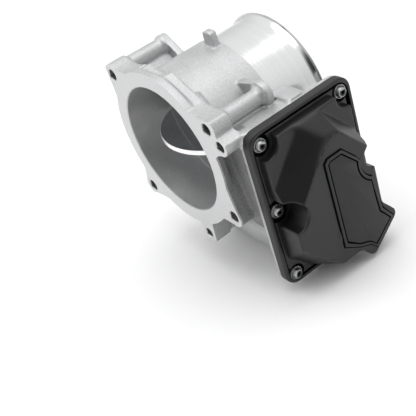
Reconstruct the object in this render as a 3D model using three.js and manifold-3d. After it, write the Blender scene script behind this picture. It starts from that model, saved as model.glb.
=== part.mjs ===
// Electronic throttle body with an 80 mm bore: a cast housing, a motor, a two-stage
// gear train, a sprung throttle shaft with its plate, and a moulded gear cover.
//
// Frame, in millimetres: the origin is the centre of the bore on the manifold flange face.
// +Y runs along the bore to the hose spigot, +X along the throttle shaft to the gear
// cover, and +Z is up. The throttle plate is drawn fully open.

import * as THREE from 'three';
import { mergeVertices } from 'three/addons/utils/BufferGeometryUtils.js';
import Module from 'manifold-3d';

const wasm = await Module();
wasm.setup();

// ---- Driving dimensions -------------------------------------------------------------

const GAP = 0.3;
const BITE = 0.6;
const ROUND = 56;

const BORE_R = 40;
const BODY_LENGTH = 84;
const BARREL_R = 43.6;
const CAST_END_Y = 50.5;
const SPIGOT_R = 42.2;
const RIM_R = 44.5;

const FLANGE_R = 49.5;
const FLANGE_T = 5;
const EAR_T = 12;
const BOLT_HOLE_R = 3.5;
const BOLT_X = 47.6;
const BOLT_Z = 28.6;
const LEFT_BOLT_X = -39;
const LEFT_BOLT_Z = 39.45;
const LUG_Y0 = 36.7;
const LUG_Y1 = 41;

const SHAFT_Y = 41.4;
const SHAFT_R = 5;
const PLATE_R = 39.5;
const PLATE_T = 3;

const CASE_FLOOR_X = 46.5;
const FACE_X = 63;
const CASE_Y0 = 9.8;
const CASE_Y1 = 76;
const CASE_TOP_Z = 22.7;
const CASE_SHOULDER_Z = -31;
const CASE_SLOPE_Y = 58;
const CASE_SLOPE_Z = 2;
const CASE_WALL = 3;
const COVER_Y0 = 8.6;
const COVER_Y1 = 77.6;
const COVER_Z0 = -77;
const COVER_Z1 = 24;
const COVER_CORNER_R = 8;
const COVER_FLOOR_X = 66;
const COVER_RIM_X = 68.8;
const DOME_X = 85;
const STEP_X = 74;
const PAD_X = 86;
const COVER_WALL = 2.4;

const MOTOR_Z = -62;
const MOTOR_CASE_R = 20.5;
const MOTOR_CAN_R = 17.5;
const MOTOR_X0 = -14;

const MODULE_FAST = 1;
const MODULE_SLOW = 1.25;
const PINION_TEETH = 12;
const IDLER_FAST_TEETH = 47;
const IDLER_SLOW_TEETH = 14;
const SECTOR_TEETH = 40;
const SLOW_X = [52.4, 58.4];
const FAST_X = [59, 62.6];

const SCREW_PLACES = [
  [15.6, 16.4], [73.2, 16.4], [14.6, -25.6], [74.6, -19], [15.4, -70],
];

// ---- Materials ----------------------------------------------------------------------

const finish = (color, roughness, metalness) =>
  new THREE.MeshStandardMaterial({ color, roughness, metalness });

const CAST = finish(0xd4d5d6, 0.5, 0.9);
const BLACK_PLASTIC = finish(0x2b2b2c, 0.45, 0);
const ZINC = finish(0xb9bbbd, 0.3, 1);
const STEEL = finish(0x9b9da0, 0.35, 1);
const PLATE_METAL = finish(0x8d8f92, 0.25, 1);
const RUBBER = finish(0x1a1a1b, 0.85, 0);
const NYLON = finish(0xd9d4c4, 0.5, 0);
const BRASS = finish(0xb99a4c, 0.35, 1);
const BOARD_GREEN = finish(0x2d5a3c, 0.6, 0);

// ---- Solids -------------------------------------------------------------------------

function solid(geometry) {
  const bare = geometry.index ? geometry.toNonIndexed() : geometry.clone();
  bare.deleteAttribute('normal');
  bare.deleteAttribute('uv');
  const merged = mergeVertices(bare, 1e-4);
  return new wasm.Manifold(new wasm.Mesh({
    numProp: 3,
    vertProperties: new Float32Array(merged.attributes.position.array),
    triVerts: new Uint32Array(merged.index.array),
  }));
}

function piece(name, body, material) {
  const { vertProperties, triVerts } = body.getMesh();
  const geometry = new THREE.BufferGeometry();
  geometry.setAttribute('position', new THREE.BufferAttribute(vertProperties, 3));
  geometry.setIndex(new THREE.BufferAttribute(triVerts, 1));
  geometry.computeVertexNormals();
  const mesh = new THREE.Mesh(geometry, material);
  mesh.name = name;
  return mesh;
}

const join = (bodies) => bodies.reduce((sum, body) => sum.add(body));
const cut = (body, tools) => tools.reduce((rest, tool) => rest.subtract(tool), body);

// A shape drawn in (X, Z) stands along Y; a shape drawn in (Y, Z) stands along X.
const TO_Y = new THREE.Matrix4().makeRotationX(Math.PI / 2);
const TO_X = new THREE.Matrix4().makeBasis(
  new THREE.Vector3(0, 1, 0), new THREE.Vector3(0, 0, 1), new THREE.Vector3(1, 0, 0));

function prismY(shape, y0, y1, curveSegments = 8) {
  const geometry = new THREE.ExtrudeGeometry(shape, {
    depth: y1 - y0, bevelEnabled: false, curveSegments,
  });
  return solid(geometry.applyMatrix4(TO_Y).translate(0, y1, 0));
}

function prismX(shape, x0, x1, curveSegments = 8) {
  const geometry = new THREE.ExtrudeGeometry(shape, {
    depth: x1 - x0, bevelEnabled: false, curveSegments,
  });
  return solid(geometry.applyMatrix4(TO_X).translate(x0, 0, 0));
}

function rodY(x, z, r, y0, y1, segments = 20, rEnd = r) {
  const geometry = new THREE.CylinderGeometry(rEnd, r, y1 - y0, segments);
  return solid(geometry.translate(x, (y0 + y1) / 2, z));
}

function rodX(y, z, r, x0, x1, segments = 20) {
  const geometry = new THREE.CylinderGeometry(r, r, x1 - x0, segments);
  return solid(geometry.rotateZ(-Math.PI / 2).translate((x0 + x1) / 2, y, z));
}

function block(x0, x1, y0, y1, z0, z1) {
  const geometry = new THREE.BoxGeometry(x1 - x0, y1 - y0, z1 - z0);
  return solid(geometry.translate((x0 + x1) / 2, (y0 + y1) / 2, (z0 + z1) / 2));
}

const ringX = (y, z, rIn, rOut, x0, x1, segments = 24) =>
  rodX(y, z, rOut, x0, x1, segments).subtract(rodX(y, z, rIn, x0 - 1, x1 + 1, segments));

// A closed profile of [radius, y] points turned about the Y axis.
function turnedY(profile, segments) {
  const points = profile.map(([r, y]) => new THREE.Vector2(r, y));
  return solid(new THREE.LatheGeometry(points, segments));
}

function roundedRect(y0, y1, z0, z1, r) {
  const shape = new THREE.Shape();
  shape.moveTo(y0 + r, z0);
  shape.absarc(y1 - r, z0 + r, r, -Math.PI / 2, 0);
  shape.absarc(y1 - r, z1 - r, r, 0, Math.PI / 2);
  shape.absarc(y0 + r, z1 - r, r, Math.PI / 2, Math.PI);
  shape.absarc(y0 + r, z0 + r, r, Math.PI, Math.PI * 1.5);
  return shape;
}

function polygon(points) {
  const shape = new THREE.Shape();
  points.forEach(([a, b], i) => (i ? shape.lineTo(a, b) : shape.moveTo(a, b)));
  return shape;
}

const deg = THREE.MathUtils.degToRad;
const polar = (r, angle) => [r * Math.cos(deg(angle)), r * Math.sin(deg(angle))];

// ---- Throttle housing ---------------------------------------------------------------

// The barrel with its rounded collar behind the flange ring, the step to the machined
// spigot and the flared hose rim.
function barrel() {
  const collar = [35, 90].map((angle) => [
    BARREL_R + 5.9 * (1 - Math.sin(deg(angle))), FLANGE_T + 6 * (1 - Math.cos(deg(angle))),
  ]);
  const outside = [
    [BORE_R + 1.3, 0], [FLANGE_R, 0], [FLANGE_R, FLANGE_T - 0.5],
    ...collar, [BARREL_R, CAST_END_Y], [SPIGOT_R, CAST_END_Y + 0.7], [SPIGOT_R, 78.4],
    [SPIGOT_R + 0.5, 80.6], [RIM_R, 83], [RIM_R, BODY_LENGTH],
  ];
  const inside = [
    [BORE_R + 1, BODY_LENGTH], [BORE_R + 0.25, BODY_LENGTH - 0.9],
    [BORE_R + 0.25, 29.2], [BORE_R, 29], [BORE_R, 1.3], [BORE_R + 1.3, 0],
  ];
  return turnedY([...outside, ...inside], ROUND);
}

// One ear of the flange, from the ring round the bolt hole and back to the ring. The
// necks are the corners of the concave fillets between the ear and the ring.
const EARS = [
  { at: [LEFT_BOLT_X, LEFT_BOLT_Z], r: 6.8, from: [110, -27, 41.8, 76], to: [203, -42, 28.6, 154] },
  { at: [LEFT_BOLT_X, -LEFT_BOLT_Z], r: 6.8, from: [211, -41.6, -28.8, 166], to: [284, -28.4, -41.2, 243] },
  { at: [BOLT_X, -BOLT_Z], r: 6.5, from: [-45, 38.6, -34.2, -104], to: [18, 48.3, -17.4, -12] },
  { at: [56, 20.3], r: 5.7, from: [12, 49.8, 13.4, -98], to: [78, 44, 30, 25] },
  { at: [BOLT_X, BOLT_Z], r: 7.5, from: [24, 52, 18, -40], to: [104, 37.2, 32.4, 50] },
];

function earSolid({ at: [x, z], r, from, to }) {
  const shape = new THREE.Shape();
  shape.moveTo(...polar(BARREL_R, from[0]));
  shape.lineTo(...polar(FLANGE_R - 0.4, from[0]));
  const [dx0, dz0] = polar(r, from[3]);
  const [dx1, dz1] = polar(r, to[3]);
  shape.quadraticCurveTo(from[1], from[2], x + dx0, z + dz0);
  shape.absarc(x, z, r, deg(from[3]), deg(to[3]));
  shape.moveTo(x + dx1, z + dz1);
  shape.quadraticCurveTo(to[1], to[2], ...polar(FLANGE_R - 0.4, to[0]));
  shape.lineTo(...polar(BARREL_R, to[0]));
  return prismY(shape, 0, EAR_T, 5);
}

// The flat-sided foot at the bottom of the flange, run back into the motor barrel.
const FOOT_HOLE = [12.9, -54.7];

function foot() {
  const outline = [
    [6, -44], [7.8, -52], [8.1, -57.8], [9.6, -59.6], [18.4, -59.6], [19.7, -46.9], [20, -42],
  ];
  return join([
    prismY(polygon(outline), 0, 11),
    prismY(polygon([[8.2, -44], [8.2, -57.6], [18.4, -57.6], [19.4, -44]]), 10, 24),
  ]);
}

// A long bolt tube from its ear to the rear lug, with the lug plate and a small gusset.
function boltTube(x, z, rFront, rRear, lugR, lugRoot) {
  const away = Math.atan2(z, x);
  const root = polar(BARREL_R - 2, THREE.MathUtils.radToDeg(away));
  const side = [-Math.sin(away), Math.cos(away)];
  const lug = join([
    rodY(x, z, lugR, LUG_Y0, LUG_Y1, 16),
    prismY(polygon([
      [x + side[0] * lugR, z + side[1] * lugR],
      [root[0] + side[0] * lugRoot[0], root[1] + side[1] * lugRoot[0]],
      [root[0] - side[0] * lugRoot[1], root[1] - side[1] * lugRoot[1]],
      [x - side[0] * lugR, z - side[1] * lugR],
    ]), LUG_Y0, LUG_Y1),
  ]);
  const gusset = prismY(polygon([
    [x + side[0] * 1.2, z + side[1] * 1.2], [root[0] + side[0] * 1.2, root[1] + side[1] * 1.2],
    [root[0] - side[0] * 1.2, root[1] - side[1] * 1.2], [x - side[0] * 1.2, z - side[1] * 1.2],
  ]), LUG_Y0 - 3.2, LUG_Y0 + BITE);
  return join([
    rodY(x, z, rFront, EAR_T - BITE, LUG_Y0 + BITE, 16, rRear),
    rodY(x, z, rRear + 0.9, LUG_Y0 - 1.4, LUG_Y0 + BITE, 16, rRear + 1.4),
    lug, gusset,
  ]);
}

// Outline of the gear case: a wide shoulder that narrows to the motor barrel. It narrows
// lower down on the side where the idler's large gear runs.
function caseOutline(inset) {
  const r = MOTOR_CASE_R - inset * 0.8;
  const shape = new THREE.Shape();
  shape.moveTo(CASE_Y0 + inset, CASE_TOP_Z - inset);
  shape.lineTo(CASE_Y0 + inset, CASE_SHOULDER_Z);
  shape.absarc(SHAFT_Y, MOTOR_Z, r, deg(200), deg(350));
  shape.lineTo(CASE_Y1 - inset, CASE_SHOULDER_Z - 20);
  shape.lineTo(CASE_Y1 - inset, CASE_SLOPE_Z - inset * 0.6);
  shape.lineTo(CASE_SLOPE_Y - inset * 0.6, CASE_TOP_Z - inset);
  return shape;
}

function coverOutline(inset) {
  return roundedRect(
    COVER_Y0 + inset, COVER_Y1 - inset, COVER_Z0 + inset, COVER_Z1 - inset,
    COVER_CORNER_R - inset * 0.5);
}

const IDLER = idlerCentre();
const MOTOR_SCREWS = [[SHAFT_Y - 12, -44.5], [SHAFT_Y + 12, -44.5]];

// The idler sits where both of its meshes have their working centre distance.
function idlerCentre() {
  const fast = MODULE_FAST * (PINION_TEETH + IDLER_FAST_TEETH) / 2;
  const slow = MODULE_SLOW * (SECTOR_TEETH + IDLER_SLOW_TEETH) / 2;
  const span = -MOTOR_Z;
  const drop = (slow * slow - fast * fast + span * span) / (2 * span);
  return [SHAFT_Y + Math.sqrt(slow * slow - drop * drop), -drop];
}

function housing() {
  const body = join([
    barrel(),
    ...EARS.map(earSolid),
    foot(),
    boltTube(LEFT_BOLT_X, LEFT_BOLT_Z, 5.4, 5.1, 6.3, [9, 9]),
    boltTube(LEFT_BOLT_X, -LEFT_BOLT_Z, 5.4, 5.1, 6.3, [9, 9]),
    boltTube(BOLT_X, BOLT_Z, 5.2, 4.8, 7.6, [12.4, 6]),
    prismX(caseOutline(0), CASE_FLOOR_X - CASE_WALL, FACE_X - 1, 6),
    block(30, CASE_FLOOR_X, CASE_Y0, 43, -30, CASE_TOP_Z),
    prismX(coverOutline(0.6), FACE_X - 3.2, FACE_X, 5),
    rodX(SHAFT_Y, MOTOR_Z, MOTOR_CASE_R, MOTOR_X0 - 3, CASE_FLOOR_X, 32),
    rodX(SHAFT_Y, 0, 9.5, -50.5, -BARREL_R + 3, 20),
    rodX(SHAFT_Y, 0, 12, -47, -BARREL_R + 4, 20),
    castLoafs(),
    topTab(),
  ]);
  const bore = turnedY([
    [0, -1], [BORE_R + 1.3, -1], [BORE_R + 1.3, 0], [BORE_R, 1.3], [BORE_R, 29],
    [BORE_R + 0.25, 29.2], [BORE_R + 0.25, BODY_LENGTH - 0.9], [BORE_R + 1, BODY_LENGTH],
    [BORE_R + 1, BODY_LENGTH + 1], [0, BODY_LENGTH + 1],
  ], ROUND);
  const shell = cut(body, [bore, gearPocket(), motorPocket(), shaftBore(), boltHoles()]);
  return cut(join([shell, chamberBosses()]), [
    ...SCREW_PLACES.map(([y, z]) => rodX(y, z, 2.1, FACE_X - 8, FACE_X + 1, 10)),
    ...MOTOR_SCREWS.map(([y, z]) => rodX(y, z, 1.7, CASE_FLOOR_X - 5, CASE_FLOOR_X + 1, 10)),
    rodX(...IDLER, 2.3, CASE_FLOOR_X - 2.2, FACE_X, 14),
    bearingPockets(),
  ]);
}

const gearPocket = () => prismX(caseOutline(CASE_WALL), CASE_FLOOR_X, FACE_X + 1, 6);

const motorPocket = () => rodX(SHAFT_Y, MOTOR_Z, MOTOR_CAN_R + 0.4, MOTOR_X0, CASE_FLOOR_X + 1, 28);
const shaftBore = () => rodX(SHAFT_Y, 0, SHAFT_R + 0.35, -BORE_R - 8, CASE_FLOOR_X + 3, 20);
const bearingPockets = () => join([
  rodX(SHAFT_Y, 0, 8.3, -51, -42.5, 20), rodX(SHAFT_Y, 0, 9.3, 42.4, CASE_FLOOR_X + 3, 20),
]);

function boltHoles() {
  const blind = (x, z, r, depth) => rodY(x, z, r, -1, depth, 12);
  const through = (x, z) => join([
    rodY(x, z, BOLT_HOLE_R, -1, LUG_Y1 + 1, 14),
  ]);
  return join([
    through(LEFT_BOLT_X, LEFT_BOLT_Z), through(LEFT_BOLT_X, -LEFT_BOLT_Z), through(BOLT_X, BOLT_Z),
    blind(BOLT_X, -BOLT_Z, BOLT_HOLE_R, 16), blind(56, 20.3, 3.2, 9), blind(...FOOT_HOLE, 2.9, 14),
  ]);
}

// Solid metal inside the gear chamber: round the right-hand blind bolt hole, under the
// cover screws that stand over the chamber, round the drive bearing and the idler pin.
function chamberBosses() {
  const inside = prismX(caseOutline(CASE_WALL - BITE), CASE_FLOOR_X - BITE, FACE_X - 1.2, 6);
  const posts = SCREW_PLACES.map(([y, z]) => rodX(y, z, 4.3, CASE_FLOOR_X - BITE, FACE_X - 1.2, 12));
  const bolt = rodY(BOLT_X, -BOLT_Z, 5.6, CASE_Y0, 20, 12)
    .subtract(rodY(BOLT_X, -BOLT_Z, BOLT_HOLE_R, 0, 16, 12));
  return join([
    ...posts, bolt,
    rodX(SHAFT_Y, 0, 12, CASE_FLOOR_X - BITE, CASE_FLOOR_X + 1.6, 20),
    rodX(...IDLER, 5, CASE_FLOOR_X - BITE, SLOW_X[0] - 0.8, 16),
  ]).intersect(inside);
}

// Small raised cast pads: a square one and two tapered ones at the collar, and a rounded
// one on top of the gear case.
function castLoafs() {
  const square = block(-6.4, 6.4, FLANGE_T - BITE, 15, 40, 44.9);
  const wedge = prismY(polygon([[-4.2, 42], [4.2, 42], [2.4, 45.4], [-3.6, 45.4]]), 6, 12);
  const turned = (body, angle) => body.rotate([0, angle, 0]);
  const loaf = roundedRect(44, 54.5, 10, 25.4, 2.6);
  return join([
    turned(square, 42), turned(wedge, 1), turned(wedge, 19),
    prismX(loaf, 51, 59, 4),
  ]);
}

function topTab() {
  const lower = 4.6;
  const upper = 3.7;
  const shape = polygon([
    [-lower, 42], [lower, 42], [upper, 51.2], [upper - 1.4, 52.6], [1.4 - upper, 52.6], [-upper, 51.2],
  ]);
  return prismY(shape, 44.4, 49);
}

// ---- Gear cover ---------------------------------------------------------------------

// The connector shroud leaves the dome on a slant, down and to the rear.
const SHROUD_ANGLE = -52;
const SHROUD_ROOT = [56.8, -54.5];
const SHROUD_HALF = 14.6;
const SHROUD_LENGTH = 22.2;
const SHROUD_X0 = 70;
const PIN_WALL = [-1, 7];

function shroudFrame(x, along, across) {
  const [cy, cz] = polar(1, SHROUD_ANGLE);
  return [SHROUD_ROOT[0] + cy * along - cz * across, SHROUD_ROOT[1] + cz * along + cy * across, x];
}

function shroudPrism(x0, x1, from, to, half, r = 2.5) {
  const shape = roundedRect(from, to, -half, half, r);
  const flat = new THREE.ExtrudeGeometry(shape, { depth: x1 - x0, bevelEnabled: false, curveSegments: 4 });
  flat.rotateZ(deg(SHROUD_ANGLE)).translate(SHROUD_ROOT[0], SHROUD_ROOT[1], x0);
  return solid(flat.applyMatrix4(TO_X));
}

// Outline of the raised dome, and round recesses round the cover screws.
function domeFootprint(inset, rightInset = 0) {
  const left = 13 + inset;
  const right = 74.4 - inset - rightInset;
  const top = 18.6 - inset;
  const bottom = -71.6 + inset;
  return polygon([
    [left, bottom + 9], [left + 6.6, bottom], [right - 6.4, bottom], [right, bottom + 7],
    [right, top - 6], [right - 6, top], [left + 7, top], [left, top - 7],
  ]);
}

const RECESS_R = [7.9, 7.4, 8.6, 7.6, 7.4];

function screwRecesses(grow, x0) {
  return join(SCREW_PLACES.map(([y, z], i) => rodX(y, z, RECESS_R[i] + grow, x0, DOME_X + 4, 16)));
}

// A tool that takes off all above a slanted plane. The plane rises from x0 to x1 over a
// distance of run along the heading, and starts at the point foot.
function slantCutter(foot, heading, x0, x1, run) {
  const tilt = Math.atan2(x1 - x0, run);
  const size = 140;
  const box = new THREE.BoxGeometry(size, size, size).translate(0, 0, size / 2);
  box.rotateY(-tilt).rotateZ(deg(heading)).translate(foot[0], foot[1], x0);
  return solid(box.applyMatrix4(TO_X));
}

// The dome is cut back by four slants: a broad facet at the upper left, one along the
// top, a steep one at the upper right and one over the lower left screw. The upper ones
// stop at the lower step.
function domeShape(inset) {
  const top = DOME_X - inset;
  const step = STEP_X - inset;
  const plan = domeFootprint(inset);
  const lowerSlant = slantCutter([19.4, -62.6], 44, step - 3, top, 7);
  const raised = cut(prismX(domeFootprint(inset, 1.6), COVER_FLOOR_X - 1, top), [
    slantCutter([25.8, 6.1], -40.3, step, top, 13.7),
    slantCutter([45, 18.6], -90, step, top, 10.5),
    slantCutter([65, 4.2], -139.5, step, top, 6.2),
  ]);
  return join([raised, prismX(plan, COVER_FLOOR_X - 1, step)]).subtract(lowerSlant);
}

function gearCover() {
  const base = join([
    prismX(coverOutline(0), FACE_X + GAP, COVER_FLOOR_X, 6),
    cut(prismX(coverOutline(0), COVER_FLOOR_X - BITE, COVER_RIM_X, 6), [
      prismX(coverOutline(2.2), COVER_FLOOR_X - 1, COVER_RIM_X + 1, 6),
      ...SCREW_PLACES.map(([y, z]) => rodX(y, z, 4.9, COVER_FLOOR_X - 1, COVER_RIM_X + 1, 12)),
    ]),
  ]);
  const recesses = screwRecesses(0, COVER_FLOOR_X);
  const dome = domeShape(0).subtract(recesses);
  const shroud = shroudPrism(SHROUD_X0, DOME_X + 0.6, -14, SHROUD_LENGTH, SHROUD_HALF);
  const outer = join([base, dome, shroud.subtract(recesses), padPlatform()]);
  const posts = screwRecesses(COVER_WALL, FACE_X - 2);
  const connectorRoot = shroudPrism(SHROUD_X0, DOME_X, PIN_WALL[0], SHROUD_LENGTH, SHROUD_HALF);
  const hollow = cut(domeShape(COVER_WALL), [posts, connectorRoot]);
  const mouth = prismX(domeFootprint(COVER_WALL), FACE_X - 1, COVER_FLOOR_X).subtract(posts);
  const socket = shroudPrism(SHROUD_X0 + 2.2, DOME_X - 2, PIN_WALL[1], SHROUD_LENGTH + 2, SHROUD_HALF - 2.2, 1.6);
  const pinHoles = join(connectorPinPlaces().map(([y, z, x]) => pinBody(y, z, x, GAP)));
  return cut(outer, [
    hollow, mouth, socket, pinHoles, padRecess(),
    ...SCREW_PLACES.map(([y, z]) => rodX(y, z, 2.4, FACE_X, COVER_FLOOR_X + 1, 10)),
  ]);
}

// The blank label panel and the raised platform that it is let into.
function panelOutline(grow) {
  const g = grow;
  const shape = new THREE.Shape();
  shape.moveTo(42.8 - g, -58.6 - g);
  shape.lineTo(42.4 - g, -6.4 + g * 0.5);
  shape.lineTo(43.8 - g * 0.5, -5.6 + g);
  shape.lineTo(51.4 + g * 0.4, -5.6 + g);
  shape.lineTo(60.2 + g * 0.3, -15.6 + g);
  shape.absarc(75.4, -19.6, 15.4 - g, deg(166), deg(239), false);
  shape.lineTo(67.8 + g, -44);
  shape.lineTo(68.6 + g, -54.8 + g * 0.4);
  shape.lineTo(75 + g, -63.4);
  shape.lineTo(61.8, -73 - g);
  shape.lineTo(57.8, -68.4 - g);
  shape.lineTo(50.4, -65.2 - g);
  return shape;
}

const padPlatform = () => prismX(panelOutline(2.6), DOME_X - BITE, PAD_X, 10);
const padRecess = () => prismX(panelOutline(0.5), PAD_X - 1, PAD_X + 1, 10);

function connectorPinPlaces() {
  const places = [];
  for (const row of [74.4, 80.8]) {
    for (const across of [-6, 0, 6]) places.push(shroudFrame(row, 0, across));
  }
  return places;
}

const PIN_FROM = -5;
const PIN_TO = 15;
const PIN_HALF = 0.9;

function pinBody(y, z, x, grow) {
  const half = PIN_HALF + grow;
  const shape = new THREE.BoxGeometry(PIN_TO - PIN_FROM + grow * 2, half * 2, half * 2 - 0.8);
  shape.translate((PIN_FROM + PIN_TO) / 2, 0, 0).rotateZ(deg(SHROUD_ANGLE)).translate(y, z, x);
  return solid(shape.applyMatrix4(TO_X));
}

// ---- Fasteners ----------------------------------------------------------------------

const HEAD_X = COVER_FLOOR_X + GAP;

function coverWasher() {
  return ringX(0, 0, 2.5, 4.4, 0, 1, 14);
}

function coverScrew() {
  const head = solid(new THREE.LatheGeometry([
    [0, 0], [3.9, 0], [3.9, 2.2], [3.2, 3.4], [0, 3.4],
  ].map(([r, y]) => new THREE.Vector2(r, y)), 14).rotateZ(-Math.PI / 2));
  const shank = rodX(0, 0, 1.7, -9.4, 0.5, 8);
  return join([head, shank]).subtract(rodX(0, 0, 1.9, 1.9, 4, 6));
}

// ---- Gears --------------------------------------------------------------------------

function gearShape(teeth, module, firstTooth = 0, count = teeth) {
  const root = (module * (teeth - 2.3)) / 2;
  const tip = (module * (teeth + 1.7)) / 2;
  const pitch = 360 / teeth;
  const shape = new THREE.Shape();
  const spot = (r, angle) => shape.lineTo(...polar(r, angle));
  shape.moveTo(...polar(root, (firstTooth - 0.3) * pitch));
  for (let i = firstTooth; i < firstTooth + count; i += 1) {
    spot(root, (i - 0.3) * pitch);
    spot(tip, (i - 0.1) * pitch);
    spot(tip, (i + 0.1) * pitch);
    spot(root, (i + 0.3) * pitch);
  }
  return shape;
}

// The sector carries only the teeth that reach the idler between open and closed. Tooth 0
// of the whole wheel is centred on a gap of the idler when the plate is open.
const SECTOR_FROM = -11;
const SECTOR_COUNT = 13;
const MESH_ANGLE = THREE.MathUtils.radToDeg(Math.atan2(IDLER[1], IDLER[0] - SHAFT_Y));

function sectorGear() {
  const pitch = 360 / SECTOR_TEETH;
  const shape = gearShape(SECTOR_TEETH, MODULE_SLOW, SECTOR_FROM, SECTOR_COUNT);
  const last = (SECTOR_FROM + SECTOR_COUNT - 1) * pitch;
  shape.lineTo(...polar(12, last + 22));
  shape.absarc(0, 0, 9.6, deg(last + 50), deg(360 + SECTOR_FROM * pitch - 50), false);
  shape.lineTo(...polar(12, SECTOR_FROM * pitch - 22));
  return prismX(shape, SLOW_X[0], SLOW_X[1], 8)
    .subtract(rodX(0, 0, SHAFT_R + 0.4, SLOW_X[0] - 1, SLOW_X[1] + 1, 20));
}

function idlerGear() {
  const large = prismX(gearShape(IDLER_FAST_TEETH, MODULE_FAST), FAST_X[0], FAST_X[1]);
  const turn = 180 / IDLER_SLOW_TEETH;
  const small = prismX(gearShape(IDLER_SLOW_TEETH, MODULE_SLOW), SLOW_X[0], FAST_X[0] + BITE);
  const holes = [0, 1, 2, 3, 4].map((i) => {
    const [y, z] = polar(15.8, i * 72);
    return rodX(y, z, 4, FAST_X[0] - 1, FAST_X[1] + 1, 10);
  });
  return cut(join([large, small.rotate([MESH_ANGLE + 180 + turn, 0, 0])]), [
    rodX(0, 0, 2.3, SLOW_X[0] - 1, FAST_X[1] + 1, 14), ...holes,
  ]);
}

// ---- Throttle shaft and plate -------------------------------------------------------

const SHAFT_X = [-47.4, 66];
const PLATE_SCREW_X = [-18, 18];
const SLOT_HALF = PLATE_T / 2 + GAP;
const SCREW_SEAT_Z = 4;

// The shaft is slotted for the plate and flattened on top where the plate screws seat.
function throttleShaft() {
  const bar = rodX(0, 0, SHAFT_R, SHAFT_X[0], SHAFT_X[1], 20);
  const slotEnd = PLATE_R + GAP;
  const screws = PLATE_SCREW_X.map((x) => {
    const hole = new THREE.CylinderGeometry(1.8, 1.8, 12, 10).rotateX(Math.PI / 2);
    return solid(hole.translate(x, 0, 0));
  });
  const seats = PLATE_SCREW_X.map((x) => block(x - 4, x + 4, -6, 6, SCREW_SEAT_Z, 6));
  return cut(bar, [
    block(-slotEnd, slotEnd, -SHAFT_R - 1, SHAFT_R + 1, -SLOT_HALF, SLOT_HALF),
    ...screws, ...seats,
  ]);
}

function throttlePlate() {
  const disc = new THREE.CylinderGeometry(PLATE_R, PLATE_R, PLATE_T, ROUND).rotateX(Math.PI / 2);
  return cut(solid(disc), PLATE_SCREW_X.map((x) =>
    solid(new THREE.CylinderGeometry(1.8, 1.8, 6, 10).rotateX(Math.PI / 2).translate(x, 0, 0))));
}

function plateScrew() {
  const shank = new THREE.CylinderGeometry(1.4, 1.4, 9, 10).rotateX(Math.PI / 2);
  const head = new THREE.CylinderGeometry(2.4, 3, 1.4, 12).rotateX(Math.PI / 2);
  return join([
    solid(shank.translate(0, 0, SCREW_SEAT_Z - 4)),
    solid(head.translate(0, 0, SCREW_SEAT_Z + GAP + 0.7)),
  ]);
}

// A plastic cup with the position magnet moulded in, pushed over the shaft's end.
const magnetCup = () =>
  rodX(0, 0, 7, 62.4, 69, 20).subtract(rodX(0, 0, SHAFT_R + GAP, 60, SHAFT_X[1] + GAP, 20));

// ---- Motor --------------------------------------------------------------------------

const CAN_X = [MOTOR_X0 + GAP, 44];
const CAN_WALL = 1.2;
const MAGNET_X = [-8, 36];
const MAGNET_R = [12.8, MOTOR_CAN_R - CAN_WALL - 0.4];

function motorCan() {
  return cut(rodX(0, 0, MOTOR_CAN_R, ...CAN_X, 28), [
    rodX(0, 0, MOTOR_CAN_R - CAN_WALL, CAN_X[0] + CAN_WALL, CAN_X[1] + 1, 28),
    rodX(0, 0, 1.9, CAN_X[0] - 1, CAN_X[0] + 3, 10),
  ]);
}

function fieldMagnet() {
  const shape = new THREE.Shape();
  shape.absarc(0, 0, MAGNET_R[1], deg(-62), deg(62), false);
  shape.absarc(0, 0, MAGNET_R[0], deg(62), deg(-62), true);
  return prismX(shape, ...MAGNET_X, 10);
}

function motorPlate() {
  const ears = MOTOR_SCREWS.map(([y, z]) => [y - SHAFT_Y, z - MOTOR_Z]);
  const x = [CASE_FLOOR_X + GAP, CASE_FLOOR_X + 2.1];
  const disc = rodX(0, 0, MOTOR_CAN_R - 0.4, ...x, 28);
  const lobes = ears.map(([y, z]) => rodX(y, z, 4.4, ...x, 12));
  const necks = ears.map(([y, z]) => {
    const side = Math.sign(y);
    return prismX(polygon(side > 0
      ? [[0, 10], [y + 4.4, z - 3], [y - 3.5, z + 3], [0, 14]]
      : [[0, 14], [y + 3.5, z + 3], [y - 4.4, z - 3], [0, 10]]), ...x);
  });
  return cut(join([disc, ...lobes, ...necks]), [
    rodX(0, 0, 2.6, x[0] - 1, x[1] + 1, 12),
    ...ears.map(([y, z]) => rodX(y, z, 1.8, x[0] - 1, x[1] + 1, 10)),
  ]);
}

function motorScrew() {
  const under = CASE_FLOOR_X + 2.1 + GAP;
  return join([rodX(0, 0, 1.3, under - 6, under + 0.5, 8), rodX(0, 0, 2.7, under, under + 2, 12)]);
}

// The armature: three salient poles and a commutator on the motor shaft.
function armature() {
  const poles = [0, 1, 2].map((i) => prismX(polePiece(), -4, 32, 6).rotate([i * 120, 0, 0]));
  return cut(join([...poles, rodX(0, 0, 4.4, -4, 40, 16)]), [rodX(0, 0, 1.8, -6, 42, 12)]);
}

function polePiece() {
  const shape = new THREE.Shape();
  shape.moveTo(-2.6, -2.6);
  shape.lineTo(8.4, -2.6);
  shape.lineTo(9.4, -7.6);
  shape.absarc(0, 0, 12.1, deg(-39), deg(39), false);
  shape.lineTo(9.4, 7.6);
  shape.lineTo(8.4, 2.6);
  shape.lineTo(-2.6, 2.6);
  return shape;
}

// The pinion is turned so that one of its gaps meets a tooth of the idler.
const PINION_TURN = pinionTurn();

function pinionTurn() {
  const toMotor = THREE.MathUtils.radToDeg(Math.atan2(MOTOR_Z - IDLER[1], SHAFT_Y - IDLER[0]));
  const idlerPitch = 360 / IDLER_FAST_TEETH;
  const pinionPitch = 360 / PINION_TEETH;
  const idlerOffset = toMotor / idlerPitch - Math.round(toMotor / idlerPitch);
  return toMotor + 180 + (idlerOffset + 0.5) * pinionPitch;
}

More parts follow.
